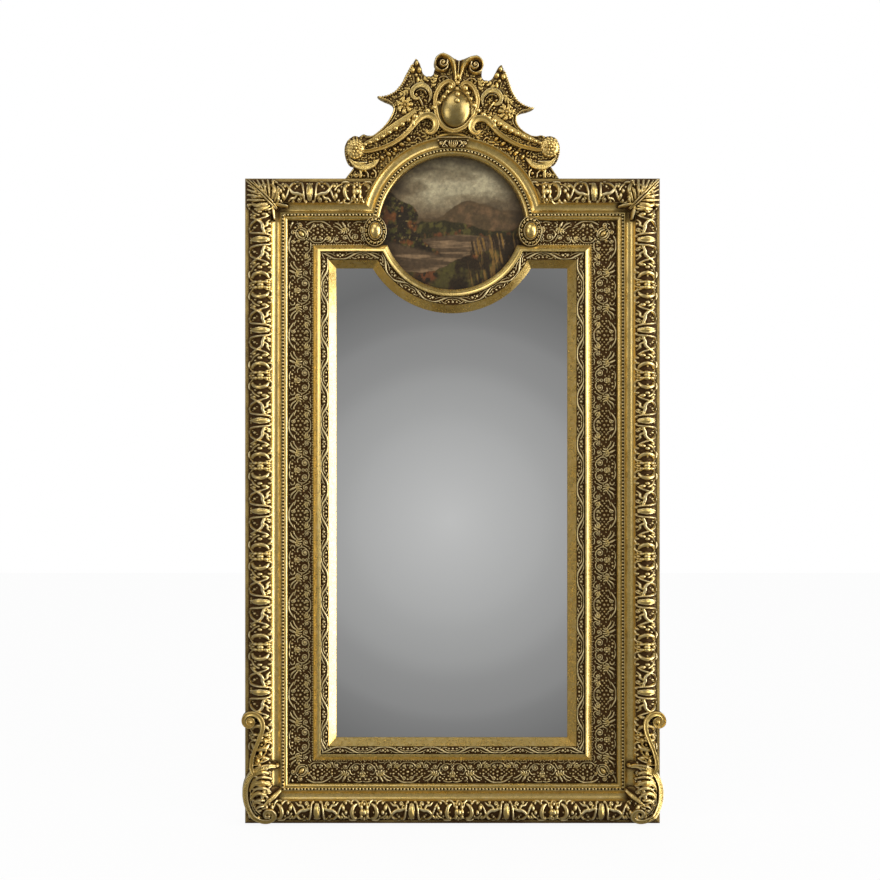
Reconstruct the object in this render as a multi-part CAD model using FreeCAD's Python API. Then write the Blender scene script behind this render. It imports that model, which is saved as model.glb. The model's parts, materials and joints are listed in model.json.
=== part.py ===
import FreeCAD, Part
import math
import os
from FreeCAD import Vector

# Trumeau mirror: a gilt wall mirror built as three nested mitred frames, with a round picture
# set in its head under a carved crest. Millimetres. X is to the right seen from the front,
# Y runs back to the wall and Z is up. The origin is at the middle of the bottom edge, on the
# wall plane, so every piece lies at Y below zero.
#
# Sections are drawn in (u, h): u is the distance inward from the frame's outer edge, and h is
# the distance forward from the wall.

# ---------------------------------------------------------------- overall size
FRAME_WIDTH = 996.0
FRAME_HEIGHT = 1548.0
TOP_RAIL_SHARE = 0.976  # width of the top rail's mouldings against the stiles'
BOTTOM_RAIL_SHARE = 0.924
CLEARANCE = 0.3  # gap left round pieces that drop into a rabbet

# ---------------------------------------------------------------- outer moulding section
SIDE_HEIGHT = 48.0
FLANGE_WIDTH = 20.0
FLANGE_HEIGHT = 60.0
TORUS_WIDTH = 41.0
TORUS_CREST = 80.0
TORUS_FOOT = 70.0
FILLET_WIDTH = 2.0
COVE_WIDTH = 23.0
COVE_FLOOR = 57.0
LIP_HEIGHT = 62.0
LIP_WIDTH = 2.0
BEAD_GROOVE_WIDTH = 6.0
BEAD_GROOVE_FLOOR = 57.0
SLOPE_WIDTH = 9.0
SLOPE_FOOT = 48.0
OUTER_RABBET_WIDTH = 10.0

TORUS_END = FLANGE_WIDTH + TORUS_WIDTH
COVE_START = TORUS_END + FILLET_WIDTH
COVE_END = COVE_START + COVE_WIDTH
GROOVE_START = COVE_END + LIP_WIDTH
GROOVE_END = GROOVE_START + BEAD_GROOVE_WIDTH
OUTER_WIDTH = GROOVE_END + SLOPE_WIDTH

# ---------------------------------------------------------------- panel frame section
BACK_RECESS = 12.0  # how far the inner frames stand off the wall
TONGUE_THICKNESS = 14.0
TONGUE_INNER_WIDTH = 12.0
PANEL_WIDTH = 61.0
PANEL_FACE = 46.0

TONGUE_TOP = BACK_RECESS + TONGUE_THICKNESS
PANEL_END = OUTER_WIDTH + PANEL_WIDTH

# ---------------------------------------------------------------- liner section
LINER_SLOPE_WIDTH = 9.0
LINER_TOP = 59.0
LINER_TOP_WIDTH = 8.0
LINER_BAND_WIDTH = 20.0
LINER_BAND_SEAT = 54.0
SLIP_WIDTH = 18.0
SLIP_TOP = 56.0
SLIP_FOOT = 36.0
GLASS_RABBET_WIDTH = 12.0
GLASS_FACE = 34.0  # h of the glass's front, and of the roundel's seat
GLASS_THICKNESS = 5.0
BACK_BOARD_THICKNESS = 6.0

LINER_TOP_START = PANEL_END + LINER_SLOPE_WIDTH
LINER_BAND_START = LINER_TOP_START + LINER_TOP_WIDTH
LINER_BAND_END = LINER_BAND_START + LINER_BAND_WIDTH
SIGHT = LINER_BAND_END + SLIP_WIDTH  # the mirror's visible edge
RABBET_WALL = SIGHT - GLASS_RABBET_WIDTH

# ---------------------------------------------------------------- applied ornament
SCROLL_BAND_RISE = 10.0
FILIGREE_RISE = 4.0
FILIGREE_MARGIN = 1.0
LEAF_BAND_RISE = 3.0
LEAF_BAND_MARGIN = 1.0
OUTER_BEAD_RADIUS = 2.9
PANEL_BEAD_RADIUS = 1.8

# ---------------------------------------------------------------- roundel
ARCH_DROP = 121.4  # from the frame's top edge to the arch's centre
ARCH_SIGHT_RADIUS = 176.4
ARC_DROP = 100.0
ARC_OUTER_RADIUS = 222.0
CARRIER_DROP = 111.0
CARRIER_RADIUS = 198.0
PAINTING_RADIUS = 184.0
PAINTING_THICKNESS = 6.0
PANEL_END_RADIUS = 178.5

# ---------------------------------------------------------------- crest
CREST_LIFT = 68.0  # height over the frame of the point that the crest's outlines are drawn from
CROWN_LEAN = 4.2  # degrees; the crown of the photographed piece leans to the right
CREST_BASE_THICKNESS = 24.0
CREST_WING_THICKNESS = 20.0
CREST_BOARD_FACE = GLASS_FACE
BASE_FACE = CREST_BOARD_FACE + CREST_BASE_THICKNESS
WING_FACE = CREST_BOARD_FACE + CREST_WING_THICKNESS
SHIELD_HALF_WIDTH = 37.0
SHIELD_HALF_HEIGHT = 46.0
SHIELD_Z = 96.0
SHIELD_RISE = 22.0
RIM_RADIUS = 6.0
RIM_GAP = 2.0
VOLUTE_X = 37.0
VOLUTE_Z = 208.0
VOLUTE_RADIUS = 21.0
VOLUTE_FACE = 66.0
VOLUTE_EYE_RADIUS = 9.0
VOLUTE_EYE_RISE = 8.0
ROSETTE_X = 232.0
ROSETTE_Z = 4.0
ROSETTE_RADIUS = 25.0
ROSETTE_RISE = 18.0
KEYSTONE_TOP_WIDTH = 84.0
KEYSTONE_FOOT_WIDTH = 56.0
KEYSTONE_DROP = 26.0
KEYSTONE_FACE = 78.0
BERRY_RADIUS = 5.5

# ---------------------------------------------------------------- corner and side ornament
MEDALLION_X = 186.0
MEDALLION_DROP = 127.4
MEDALLION_HALF_WIDTH = 28.0
MEDALLION_HALF_HEIGHT = 37.0
MEDALLION_FACE = 67.0
CABOCHON_HALF_WIDTH = 14.0
CABOCHON_HALF_HEIGHT = 19.0
CABOCHON_RISE = 12.0
TOP_LEAF_LONG_REACH = 104.0
TOP_LEAF_SHORT_REACH = 64.0
TOP_LEAF_RISE = 6.0
TOP_LEAF_MARGIN = 3.0
PANEL_CORNER_RADIUS = 24.0
PANEL_CORNER_RISE = 6.0
ACANTHUS_INSET = 37.0
ACANTHUS_Z = 77.0
ACANTHUS_HALF_WIDTH = 40.0
ACANTHUS_HALF_HEIGHT = 66.0
ACANTHUS_EDGE = 4.0
ACANTHUS_END = 77.0
ACANTHUS_RISE = 10.0
FOOT_SPIRAL_INSET = 58.0
FOOT_SPIRAL_Z = 23.0
FOOT_SPIRAL_RADIUS = 17.0
SIDE_VOLUTE_INSET = 13.0
SIDE_VOLUTE_Z = 252.0
SIDE_VOLUTE_RADIUS = 16.0
SIDE_VOLUTE_FACE = 98.0

# ---------------------------------------------------------------- hardware, let into the back
STEEL = 2.5
HEAD_RADIUS = 3.8
HEAD_HEIGHT = 2.2
SCREW_RADIUS = 1.8
SCREW_LENGTH = 14.0
BRACE_REACH = 96.0
BRACE_WIDTH = 22.0
BRACE_INSET = 24.0
STRAP_LENGTH = 96.0
STRAP_WIDTH = 25.0
STRAP_X = 208.0
STRAP_SEAT = BACK_RECESS
BATTEN_WIDTH = 11.0
HANGER_INSET = 50.0
HANGER_DROP = 258.0
HANGER_POCKET = 13.0
HANGER_PLATE_LENGTH = 62.0
HANGER_PLATE_WIDTH = 20.0
HANGER_THICKNESS = 2.0
HANGER_SCREW_EDGE = 8.0
HANGER_SCREW_PITCH = 18.0
RING_WIRE_RADIUS = 2.5
RING_RUNNING_GAP = 0.6
RING_HALF_WIDTH = 15.0
RING_LEG = 9.0
POCKET_MARGIN = 4.0

ARCH_OUTER_RADIUS = ARCH_SIGHT_RADIUS + OUTER_WIDTH - TORUS_END
BARREL_RADIUS = RING_WIRE_RADIUS + RING_RUNNING_GAP + HANGER_THICKNESS
HALF_WIDTH = FRAME_WIDTH / 2
ACANTHUS_X = HALF_WIDTH - ACANTHUS_INSET
FOOT_SPIRAL_X = HALF_WIDTH - FOOT_SPIRAL_INSET
SIDE_VOLUTE_X = HALF_WIDTH - SIDE_VOLUTE_INSET
HANGER_X = HALF_WIDTH - HANGER_INSET
ARCH_CENTRE = FRAME_HEIGHT - ARCH_DROP
ARC_CENTRE = FRAME_HEIGHT - ARC_DROP
CARRIER_CENTRE = FRAME_HEIGHT - CARRIER_DROP
MEDALLION_Z = FRAME_HEIGHT - MEDALLION_DROP
HANGER_Z = FRAME_HEIGHT - HANGER_DROP
CREST_DATUM = FRAME_HEIGHT + CREST_LIFT
PANEL_CENTRE_U = OUTER_WIDTH + PANEL_WIDTH / 2
DEEP = 400.0  # longer than anything is deep
SMALLEST_PIECE = 1.0  # cubic mm; specks left by a cut are dropped

made = {}


# ================================================================ tools
def solids_of(shape):
    return [s for s in shape.Solids if s.Volume > SMALLEST_PIECE]


def keep(name, *shapes):
    """Stores a node's solids under its name."""
    made[name] = [s for shape in shapes for s in solids_of(shape)]
    return Part.makeCompound(made[name])


def minus(shape, *others):
    for other in others:
        if other is not None:
            shape = shape.cut(other)
    return Part.makeCompound(solids_of(shape))


def mirrored(shape):
    return shape.mirror(Vector(0, 0, 0), Vector(1, 0, 0))


def at(x, h, z):
    """A point given by its distance forward from the wall."""
    return Vector(x, -h, z)


def wire_of(start, steps, place):
    """A closed wire from (a, b) points: a step is an end point, or a middle and an end for an arc."""
    edges = []
    here = start
    for step in [*steps, (start,)]:
        end = step[-1]
        if len(step) == 2:
            edges.append(Part.Arc(place(*here), place(*step[0]), place(*end)).toShape())
        elif place(*here).distanceToPoint(place(*end)) > 1e-6:
            edges.append(Part.LineSegment(place(*here), place(*end)).toShape())
        here = end
    return Part.Wire(edges)


def slab(start, steps, low, high, lift=0.0):
    """A flat piece: its outline in (x, z), between two distances from the wall."""
    outline = wire_of(start, steps, lambda x, z: at(x, low, z + lift))
    return Part.Face(outline).extrude(Vector(0, low - high, 0))


def zone(*points):
    """Everything in front of and behind a polygon in (x, z)."""
    return slab(points[0], [(p,) for p in points[1:]], -DEEP, DEEP)


def post(radius, z, low=-DEEP, high=DEEP, x=0.0):
    return Part.makeCylinder(radius, high - low, at(x, low, z), Vector(0, -1, 0))


def lean(shape):
    """Turns a piece of the crown about the crest's datum."""
    return shape.rotated(Vector(0, 0, CREST_DATUM), Vector(0, 1, 0), CROWN_LEAN)


def dome(x, z, half_width, half_height, low, rise):
    """Half an ellipsoid that stands on the plane at height low."""
    ball = Part.makeSphere(1.0)
    shape = FreeCAD.Matrix()
    shape.scale(half_width, rise, half_height)
    shape.move(at(x, low, z))
    return ball.transformGeometry(shape).common(post(2 * half_height, z, low, low + 2 * rise, x))


def oval_post(x, z, half_width, half_height, low, high):
    """An upright oval block that stands forward from height low to high."""
    middle = at(x, low, z)
    tall, wide = middle + Vector(0, 0, half_height), middle + Vector(half_width, 0, 0)
    oval = Part.Wire(Part.Ellipse(tall, wide, middle).toShape())
    return Part.Face(oval).extrude(Vector(0, low - high, 0))


def horn(points, radii, h, lift=0.0):
    """A round tapering scroll: a loft through circles square to a path in (x, z)."""
    rings = []
    for i, (x, z) in enumerate(points):
        x0, z0 = points[max(i - 1, 0)]
        x1, z1 = points[min(i + 1, len(points) - 1)]
        along = Vector(x1 - x0, 0, z1 - z0)
        rings.append(Part.Wire(Part.Circle(at(x, h, z + lift), along, radii[i]).toShape()))
    return Part.makeLoft(rings, True, False)


# ================================================================ sections
def outer_section():
    torus_middle = (FLANGE_WIDTH + TORUS_WIDTH / 2, TORUS_CREST)
    start = (0, 0)
    steps = [
        ((0, SIDE_HEIGHT),),
        ((FLANGE_WIDTH, FLANGE_HEIGHT),),
        (torus_middle, (TORUS_END, TORUS_FOOT)),
        *inner_edge_steps(),
        ((OUTER_WIDTH, TONGUE_TOP),),
        ((OUTER_WIDTH - OUTER_RABBET_WIDTH, TONGUE_TOP),),
        ((OUTER_WIDTH - OUTER_RABBET_WIDTH, 0),),
    ]
    return start, steps


def inner_edge_steps():
    """Cove, lip, bead groove and slope, which the arch over the roundel shares."""
    cove_middle = (COVE_START + COVE_WIDTH / 2, COVE_FLOOR)
    return [
        ((COVE_START, TORUS_FOOT),),
        (cove_middle, (COVE_END, LIP_HEIGHT)),
        ((GROOVE_START, LIP_HEIGHT),),
        ((GROOVE_START, BEAD_GROOVE_FLOOR),),
        ((GROOVE_END, BEAD_GROOVE_FLOOR),),
        ((GROOVE_END, LIP_HEIGHT),),
        ((OUTER_WIDTH, SLOPE_FOOT),),
    ]


def arch_section():
    start = (TORUS_END, GLASS_FACE)
    steps = [((TORUS_END, TORUS_FOOT),), *inner_edge_steps(), ((OUTER_WIDTH, GLASS_FACE),)]
    return start, steps


def panel_section():
    tongue_start = OUTER_WIDTH - OUTER_RABBET_WIDTH + CLEARANCE
    tongue_end = PANEL_END + TONGUE_INNER_WIDTH
    start = (tongue_start, BACK_RECESS)
    steps = [
        ((tongue_end, BACK_RECESS),),
        ((tongue_end, TONGUE_TOP),),
        ((PANEL_END, TONGUE_TOP),),
        ((PANEL_END, PANEL_FACE),),
        ((OUTER_WIDTH, PANEL_FACE),),
        ((OUTER_WIDTH, TONGUE_TOP),),
        ((tongue_start, TONGUE_TOP),),
    ]
    return start, steps


def liner_face_steps():
    """Slope, two-step, leaf band's seat and slip, which the arc under the roundel shares."""
    return [
        ((PANEL_END, PANEL_FACE),),
        ((LINER_TOP_START, LINER_TOP),),
        ((LINER_BAND_START, LINER_TOP),),
        ((LINER_BAND_START, LINER_BAND_SEAT),),
        ((LINER_BAND_END, LINER_BAND_SEAT),),
        ((LINER_BAND_END, SLIP_TOP),),
        ((SIGHT, SLIP_FOOT),),
        ((SIGHT, GLASS_FACE),),
    ]


def liner_section():
    back_start = PANEL_END + TONGUE_INNER_WIDTH + CLEARANCE
    start = (PANEL_END, TONGUE_TOP)
    steps = [
        *liner_face_steps(),
        ((RABBET_WALL, GLASS_FACE),),
        ((RABBET_WALL, BACK_RECESS),),
        ((back_start, BACK_RECESS),),
        ((back_start, TONGUE_TOP),),
    ]
    return start, steps


def arc_section():
    return (PANEL_END, GLASS_FACE), liner_face_steps()


def scroll_band_section():
    middle = FLANGE_WIDTH + TORUS_WIDTH / 2
    start = (FLANGE_WIDTH, FLANGE_HEIGHT)
    steps = [
        ((middle, TORUS_CREST + SCROLL_BAND_RISE), (TORUS_END, TORUS_FOOT)),
        ((middle, TORUS_CREST), (FLANGE_WIDTH, FLANGE_HEIGHT)),
    ]
    return start, steps


def box_section(u0, u1, low, high):
    return (u0, low), [((u0, high),), ((u1, high),), ((u1, low),)]


def round_section(u, h, radius):
    start = (u - radius, h)
    return start, [((u, h + radius), (u + radius, h)), ((u, h - radius), start)]


# ================================================================ frame members
def rail_height(u):
    """Height of the top rail at a distance inward from its outer edge."""
    return FRAME_HEIGHT - u * TOP_RAIL_SHARE


def bar(side, section):
    """A full-length bar with a section, along one side of the frame."""
    places = {
        "left": (lambda u, h: at(u - HALF_WIDTH, h, 0), Vector(0, 0, FRAME_HEIGHT)),
        "right": (lambda u, h: at(HALF_WIDTH - u, h, 0), Vector(0, 0, FRAME_HEIGHT)),
        "bottom": (lambda u, h: at(-HALF_WIDTH, h, u * BOTTOM_RAIL_SHARE), Vector(FRAME_WIDTH, 0, 0)),
        "top": (lambda u, h: at(-HALF_WIDTH, h, rail_height(u)), Vector(FRAME_WIDTH, 0, 0)),
    }
    place, run = places[side]
    return Part.Face(wire_of(*section, place)).extrude(run)


def mitre_zone(side):
    """What lies inside the mitres at both ends of a side."""
    w, t = HALF_WIDTH, FRAME_HEIGHT
    low, high = w * BOTTOM_RAIL_SHARE, rail_height(w)
    zones = {
        "left": [(-w, 0), (0, low), (0, high), (-w, t)],
        "right": [(w, 0), (w, t), (0, high), (0, low)],
        "bottom": [(-w, 0), (w, 0), (0, low)],
        "top": [(-w, t), (0, high), (w, t)],
    }
    return zone(*zones[side])


def member(side, section):
    return bar(side, section).common(mitre_zone(side))


def turned(section, place, z):
    """A section turned once about the roundel's axis."""
    return Part.Face(wire_of(*section, place)).revolve(Vector(0, 0, z), Vector(0, 1, 0), 360)


def arch_radius(u):
    return ARCH_SIGHT_RADIUS + OUTER_WIDTH - u


def arc_radius(u):
    return ARC_OUTER_RADIUS - SIGHT + u


def arch_ring(section):
    return turned(section, lambda u, h: at(arch_radius(u), h, ARCH_CENTRE), ARCH_CENTRE)


def arc_ring(section):
    return turned(section, lambda u, h: at(arc_radius(u), h, ARC_CENTRE), ARC_CENTRE)


def meeting(z, radius, centre):
    """Where a level line meets a circle about the roundel's axis, at the left."""
    return -math.sqrt(radius * radius - (z - centre) ** 2), z


def arch_mitre():
    """Two points of the mitre between the top rail and the arch, at the left."""
    return [meeting(rail_height(u), arch_radius(u), ARCH_CENTRE) for u in (OUTER_WIDTH, TORUS_END)]


def arc_mitre():
    """Two points of the mitre between the liner's top rail and the arc, at the left."""
    return [meeting(rail_height(u), arc_radius(u), ARC_CENTRE) for u in (SIGHT, PANEL_END)]


def along(p, q, share):
    return p[0] + (q[0] - p[0]) * share, p[1] + (q[1] - p[1]) * share


def arch_zone():
    """The space of the arch, above its two mitres."""
    p, q = arch_mitre()
    far = along(p, q, 4)
    top = FRAME_HEIGHT + ARCH_OUTER_RADIUS
    return zone(p, far, (far[0], top), (-far[0], top), (-far[0], far[1]), (-p[0], p[1]))


def arc_zone():
    """The space of the arc, below its two mitres."""
    p, q = arc_mitre()
    low = along(q, p, 4)
    return zone(low, q, (-q[0], q[1]), (-low[0], low[1]))


def left_half(z_low=0.0):
    w, top = FRAME_WIDTH, 2 * FRAME_HEIGHT
    return zone((-w, z_low), (-w, top), (0, top), (0, z_low))


def carrier_hole():
    return post(CARRIER_RADIUS + CLEARANCE, CARRIER_CENTRE, -DEEP, GLASS_FACE)


def outer_top_left(section):
    """The rail up to the arch: its scrolls and band run on to the arch's outer edge."""
    rail = member("top", section).common(left_half())
    arch_space = post(ARCH_OUTER_RADIUS, ARCH_CENTRE).common(arch_zone())
    return minus(rail, arch_space, post(ARCH_SIGHT_RADIUS, ARCH_CENTRE), carrier_hole())


def panel_top_left(section):
    rail = member("top", section).common(left_half())
    return minus(rail, post(PANEL_END_RADIUS, CARRIER_CENTRE), carrier_hole())


def liner_top_left(section):
    p, q = arc_mitre()
    past_mitre = zone(along(p, q, -4), along(p, q, 4), (0, rail_height(0)), (0, 0))
    return minus(member("top", section).common(left_half()), past_mitre, carrier_hole())


def make_frame(name, section, top_left):
    """The stiles, bottom rail and two short top rails of one nested frame."""
    keep(f"{name}_stile_left", member("left", section))
    keep(f"{name}_stile_right", member("right", section))
    keep(f"{name}_rail_bottom", member("bottom", section))
    rail = keep(f"{name}_rail_top_left", top_left(section))
    keep(f"{name}_rail_top_right", mirrored(rail))


def make_frames():
    make_frame("outer", outer_section(), outer_top_left)
    make_frame("panel", panel_section(), panel_top_left)
    make_frame("liner", liner_section(), liner_top_left)
    keep("arch_moulding", arch_ring(arch_section()).common(arch_zone()))
    keep("liner_arc", arc_ring(arc_section()).common(arc_zone()))


# ================================================================ ornament that runs along
def all_round(section, top_left):
    """A strip round the whole frame: two stiles, the bottom rail and two short top rails."""
    top = top_left(section)
    return [*[member(side, section) for side in ("left", "right", "bottom")], top, mirrored(top)]


def make_running_ornament():
    keep("scroll_bands", *all_round(scroll_band_section(), outer_top_left))

    panel_bead_seat = PANEL_END - PANEL_BEAD_RADIUS
    filigree_end = panel_bead_seat - PANEL_BEAD_RADIUS - FILIGREE_MARGIN
    filigree = box_section(
        OUTER_WIDTH + FILIGREE_MARGIN, filigree_end, PANEL_FACE, PANEL_FACE + FILIGREE_RISE
    )
    keep("filigree_bands", *all_round(filigree, panel_top_left))

    leaf = box_section(
        LINER_BAND_START + LEAF_BAND_MARGIN,
        LINER_BAND_END - LEAF_BAND_MARGIN,
        LINER_BAND_SEAT,
        LINER_BAND_SEAT + LEAF_BAND_RISE,
    )
    keep("leaf_band", *all_round(leaf, liner_top_left), arc_ring(leaf).common(arc_zone()))

    outer_bead = round_section(
        (GROOVE_START + GROOVE_END) / 2, BEAD_GROOVE_FLOOR + OUTER_BEAD_RADIUS, OUTER_BEAD_RADIUS
    )
    over_arch = arch_ring(outer_bead).common(arch_zone())
    keep("outer_beads", *all_round(outer_bead, outer_top_left), over_arch)

    panel_bead = round_section(
        panel_bead_seat, PANEL_FACE + PANEL_BEAD_RADIUS, PANEL_BEAD_RADIUS
    )
    keep("panel_beads", *all_round(panel_bead, panel_top_left))


# ================================================================ glass, picture and backs
def rabbet_sheet(low, high):
    """A sheet that drops into the liner's rabbet and is cut out round the roundel's board."""
    x = HALF_WIDTH - RABBET_WALL - CLEARANCE
    z0 = RABBET_WALL * BOTTOM_RAIL_SHARE + CLEARANCE
    z1 = rail_height(RABBET_WALL) - CLEARANCE
    sheet = slab((-x, z0), [((-x, z1),), ((x, z1),), ((x, z0),)], low, high)
    return minus(sheet, post(CARRIER_RADIUS + CLEARANCE, CARRIER_CENTRE))


def batten_top_left(section):
    rail = member("top", section).common(left_half())
    return minus(rail, post(CARRIER_RADIUS + CLEARANCE, CARRIER_CENTRE))


def make_glass_and_picture():
    glass_back = GLASS_FACE - GLASS_THICKNESS
    board_back = glass_back - BACK_BOARD_THICKNESS
    keep("mirror_glass", rabbet_sheet(glass_back, GLASS_FACE))
    keep("mirror_back_board", rabbet_sheet(board_back, glass_back))

    batten = box_section(
        RABBET_WALL + CLEARANCE, RABBET_WALL + BATTEN_WIDTH, BACK_RECESS, board_back
    )
    keep("glass_battens", *all_round(batten, batten_top_left))

    picture_back = CREST_BOARD_FACE - PAINTING_THICKNESS
    picture = post(PAINTING_RADIUS, CARRIER_CENTRE, picture_back, GLASS_FACE)
    recess = post(PAINTING_RADIUS + CLEARANCE, CARRIER_CENTRE, picture_back, GLASS_FACE)
    keep("painting", picture)
    keep("roundel_board", post(CARRIER_RADIUS, CARRIER_CENTRE, BACK_RECESS, GLASS_FACE).cut(recess))


# ================================================================ crest
def leaned_point(x, z):
    turn = math.radians(CROWN_LEAN)
    return x * math.cos(turn) + z * math.sin(turn), z * math.cos(turn) - x * math.sin(turn)


def both_sides(half):
    """A closed outline from the points of its left half, which starts and ends near the middle."""
    return [*half, *[(-x, z) for x, z in reversed(half)]]


def crest_slab(points, low, high):
    """A flat piece of the crest: its points are drawn from the crest's datum."""
    return slab(points[0], [(p,) for p in points[1:]], low, high, CREST_DATUM)


def arch_core():
    return post(ARCH_OUTER_RADIUS, ARCH_CENTRE)


def make_crest_board():
    foot = FRAME_HEIGHT - CREST_DATUM
    shoulder = [(0, foot), (-226, foot), (-222, 8), (-176, 26), (-132, 60)]
    crown = [(-112, 104), (-92, 158), (-62, 158), (-44, 196), (0, 204)]
    right_shoulder = [(-x, z) for x, z in reversed(shoulder[1:])]
    whole_crown = [*crown, *[(-x, z) for x, z in reversed(crown[:-1])]]
    points = [*shoulder, *[leaned_point(x, z) for x, z in whole_crown], *right_shoulder]
    board = crest_slab(points, BACK_RECESS, CREST_BOARD_FACE)
    keep("crest_board", minus(board, post(CARRIER_RADIUS + CLEARANCE, CARRIER_CENTRE)))


def wing():
    """The left leaf of the crown, with its side spike and its spire."""
    start = (-46, 60)
    steps = [
        ((-138, 76),),
        ((-147, 88), (-159, 99)),
        ((-174, 104), (-188, 115)),
        ((-174, 119), (-163, 126)),
        ((-149, 135),),
        ((-138, 147), (-131, 160)),
        ((-119, 190), (-103, 212)),
        ((-92, 199), (-85, 182)),
        ((-73, 171), (-60, 177)),
        ((-46, 186),),
    ]
    return slab(start, steps, CREST_BOARD_FACE, WING_FACE, CREST_DATUM)


def crown_middle():
    points = both_sides([(0, 40), (-46, 60), (-46, 186), (-14, 190), (-14, 212), (0, 222)])
    return crest_slab(points, CREST_BOARD_FACE, BASE_FACE)


def shoulder():
    """The left half of the carved base: neck, scrolled shoulder and the rise to the crown."""
    foot = FRAME_HEIGHT - CREST_DATUM
    start = (0, foot)
    steps = [
        ((-254, foot),),
        ((-248, -54), (-238, -38)),
        ((-254, -18), (-257, 5)),
        ((-249, 28), (-226, 34)),
        ((-206, 43), (-186, 39)),
        ((-168, 50), (-156, 65)),
        ((-148, 80), (-147, 96)),
        ((0, 96),),
    ]
    body = slab(start, steps, CREST_BOARD_FACE, BASE_FACE, CREST_DATUM)
    return minus(body, arch_core())


def in_front(shape, h):
    """The part of a shape that stands in front of a distance from the wall."""
    space = Part.makeBox(4 * FRAME_WIDTH, DEEP, 4 * FRAME_HEIGHT)
    space.translate(Vector(-2 * FRAME_WIDTH, -h - DEEP, -FRAME_HEIGHT))
    return shape.common(space)


def lifted(shape):
    return shape.translated(Vector(0, 0, CREST_DATUM))


def make_cartouche():
    shield = dome(0, SHIELD_Z, SHIELD_HALF_WIDTH, SHIELD_HALF_HEIGHT, BASE_FACE, SHIELD_RISE)
    across = SHIELD_HALF_WIDTH + RIM_GAP + RIM_RADIUS
    upright = SHIELD_HALF_HEIGHT + RIM_GAP + RIM_RADIUS
    hoop = Part.makeTorus(across, RIM_RADIUS, Vector(0, 0, 0), Vector(0, 1, 0))
    stretch = FreeCAD.Matrix()
    stretch.scale(1, 1, upright / across)
    stretch.move(at(0, BASE_FACE, SHIELD_Z))
    rim = in_front(hoop.transformGeometry(stretch), BASE_FACE)
    keep("cartouche_shield", lean(lifted(shield)))
    return keep("cartouche_rim", lean(lifted(rim)))


def make_crown():
    volute = post(VOLUTE_RADIUS, VOLUTE_Z, CREST_BOARD_FACE, VOLUTE_FACE, -VOLUTE_X)
    eye = dome(
        -VOLUTE_X, VOLUTE_Z, VOLUTE_EYE_RADIUS, VOLUTE_EYE_RADIUS, VOLUTE_FACE, VOLUTE_EYE_RISE
    )
    volute = volute.fuse(eye).removeSplitter()
    pair = Part.makeCompound([lifted(volute), lifted(mirrored(volute))])
    middle = lean(minus(crown_middle(), pair))
    left_wing = wing()
    keep("crown_volute_left", lean(lifted(volute)))
    keep("crown_volute_right", lean(lifted(mirrored(volute))))
    keep("crown_middle", minus(middle, arch_core()))
    keep("crown_wing_left", minus(lean(left_wing), middle))
    keep("crown_wing_right", minus(lean(mirrored(left_wing)), middle))
    crown = [s for name in ("crown_middle", "crown_wing_left", "crown_wing_right") for s in made[name]]
    keep("crest_shoulder_left", minus(shoulder(), *crown))
    keep("crest_shoulder_right", minus(mirrored(shoulder()), *crown))


def make_crest_scrolls(rim):
    """The half-round C-scrolls, and the rosettes that they run into."""
    path = [(-46, 34), (-44, 50), (-54, 65), (-72, 67), (-88, 54), (-104, 36), (-124, 18)]
    path += [(-150, 4), (-180, -3), (-212, -2)]
    radii = [4, 5, 6, 7, 8, 9, 9, 9, 8, 7]
    scroll = in_front(horn(path, radii, BASE_FACE, CREST_DATUM), BASE_FACE)
    rosette = dome(
        -ROSETTE_X, CREST_DATUM + ROSETTE_Z, ROSETTE_RADIUS, ROSETTE_RADIUS, BASE_FACE, ROSETTE_RISE
    )
    scroll = minus(scroll, rosette)
    keep("crest_scroll_left", minus(scroll, rim))
    keep("crest_scroll_right", minus(mirrored(scroll), rim))
    keep("rosette_left", rosette)
    keep("rosette_right", mirrored(rosette))


def make_keystone():
    top, foot = KEYSTONE_TOP_WIDTH / 2, KEYSTONE_FOOT_WIDTH / 2
    high = ARCH_CENTRE + ARCH_OUTER_RADIUS - CREST_DATUM
    low = high - KEYSTONE_DROP
    points = both_sides([(-foot, low), (-top, high)])
    block = crest_slab(points, LIP_HEIGHT, KEYSTONE_FACE)
    keep("keystone", minus(block, *made["arch_moulding"], *made["outer_beads"]))


def garland_places():
    """The drops down the shield's middle, and the swag from it to the left rosette."""
    drops = [(0, 158), (0, 150)]
    swag = [(-52, 142), (-57, 130), (-66, 118), (-77, 106), (-90, 95), (-104, 84)]
    swag += [(-120, 74), (-136, 64)]
    return drops, swag


def make_garland():
    drops, swag = garland_places()
    berries = []
    for x, z in [*drops, *swag, *[(-x, z) for x, z in swag]]:
        face = BASE_FACE if abs(x) < 46 else WING_FACE
        ball = Part.makeSphere(BERRY_RADIUS, at(x, face, z))
        berries.append(in_front(ball, face))
    row = lean(lifted(Part.makeCompound(berries)))
    others = [name for name in made if name.startswith(("crest_", "crown_", "cartouche_"))]
    keep("garland", minus(row, *[s for name in others for s in made[name]]))


def make_crest():
    make_crest_board()
    make_crown()
    rim = make_cartouche()
    make_crest_scrolls(rim)
    make_keystone()
    make_garland()


# ================================================================ corners and sides
def everything(*prefixes):
    return [s for name, solids in made.items() if name.startswith(prefixes) for s in solids]


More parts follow.
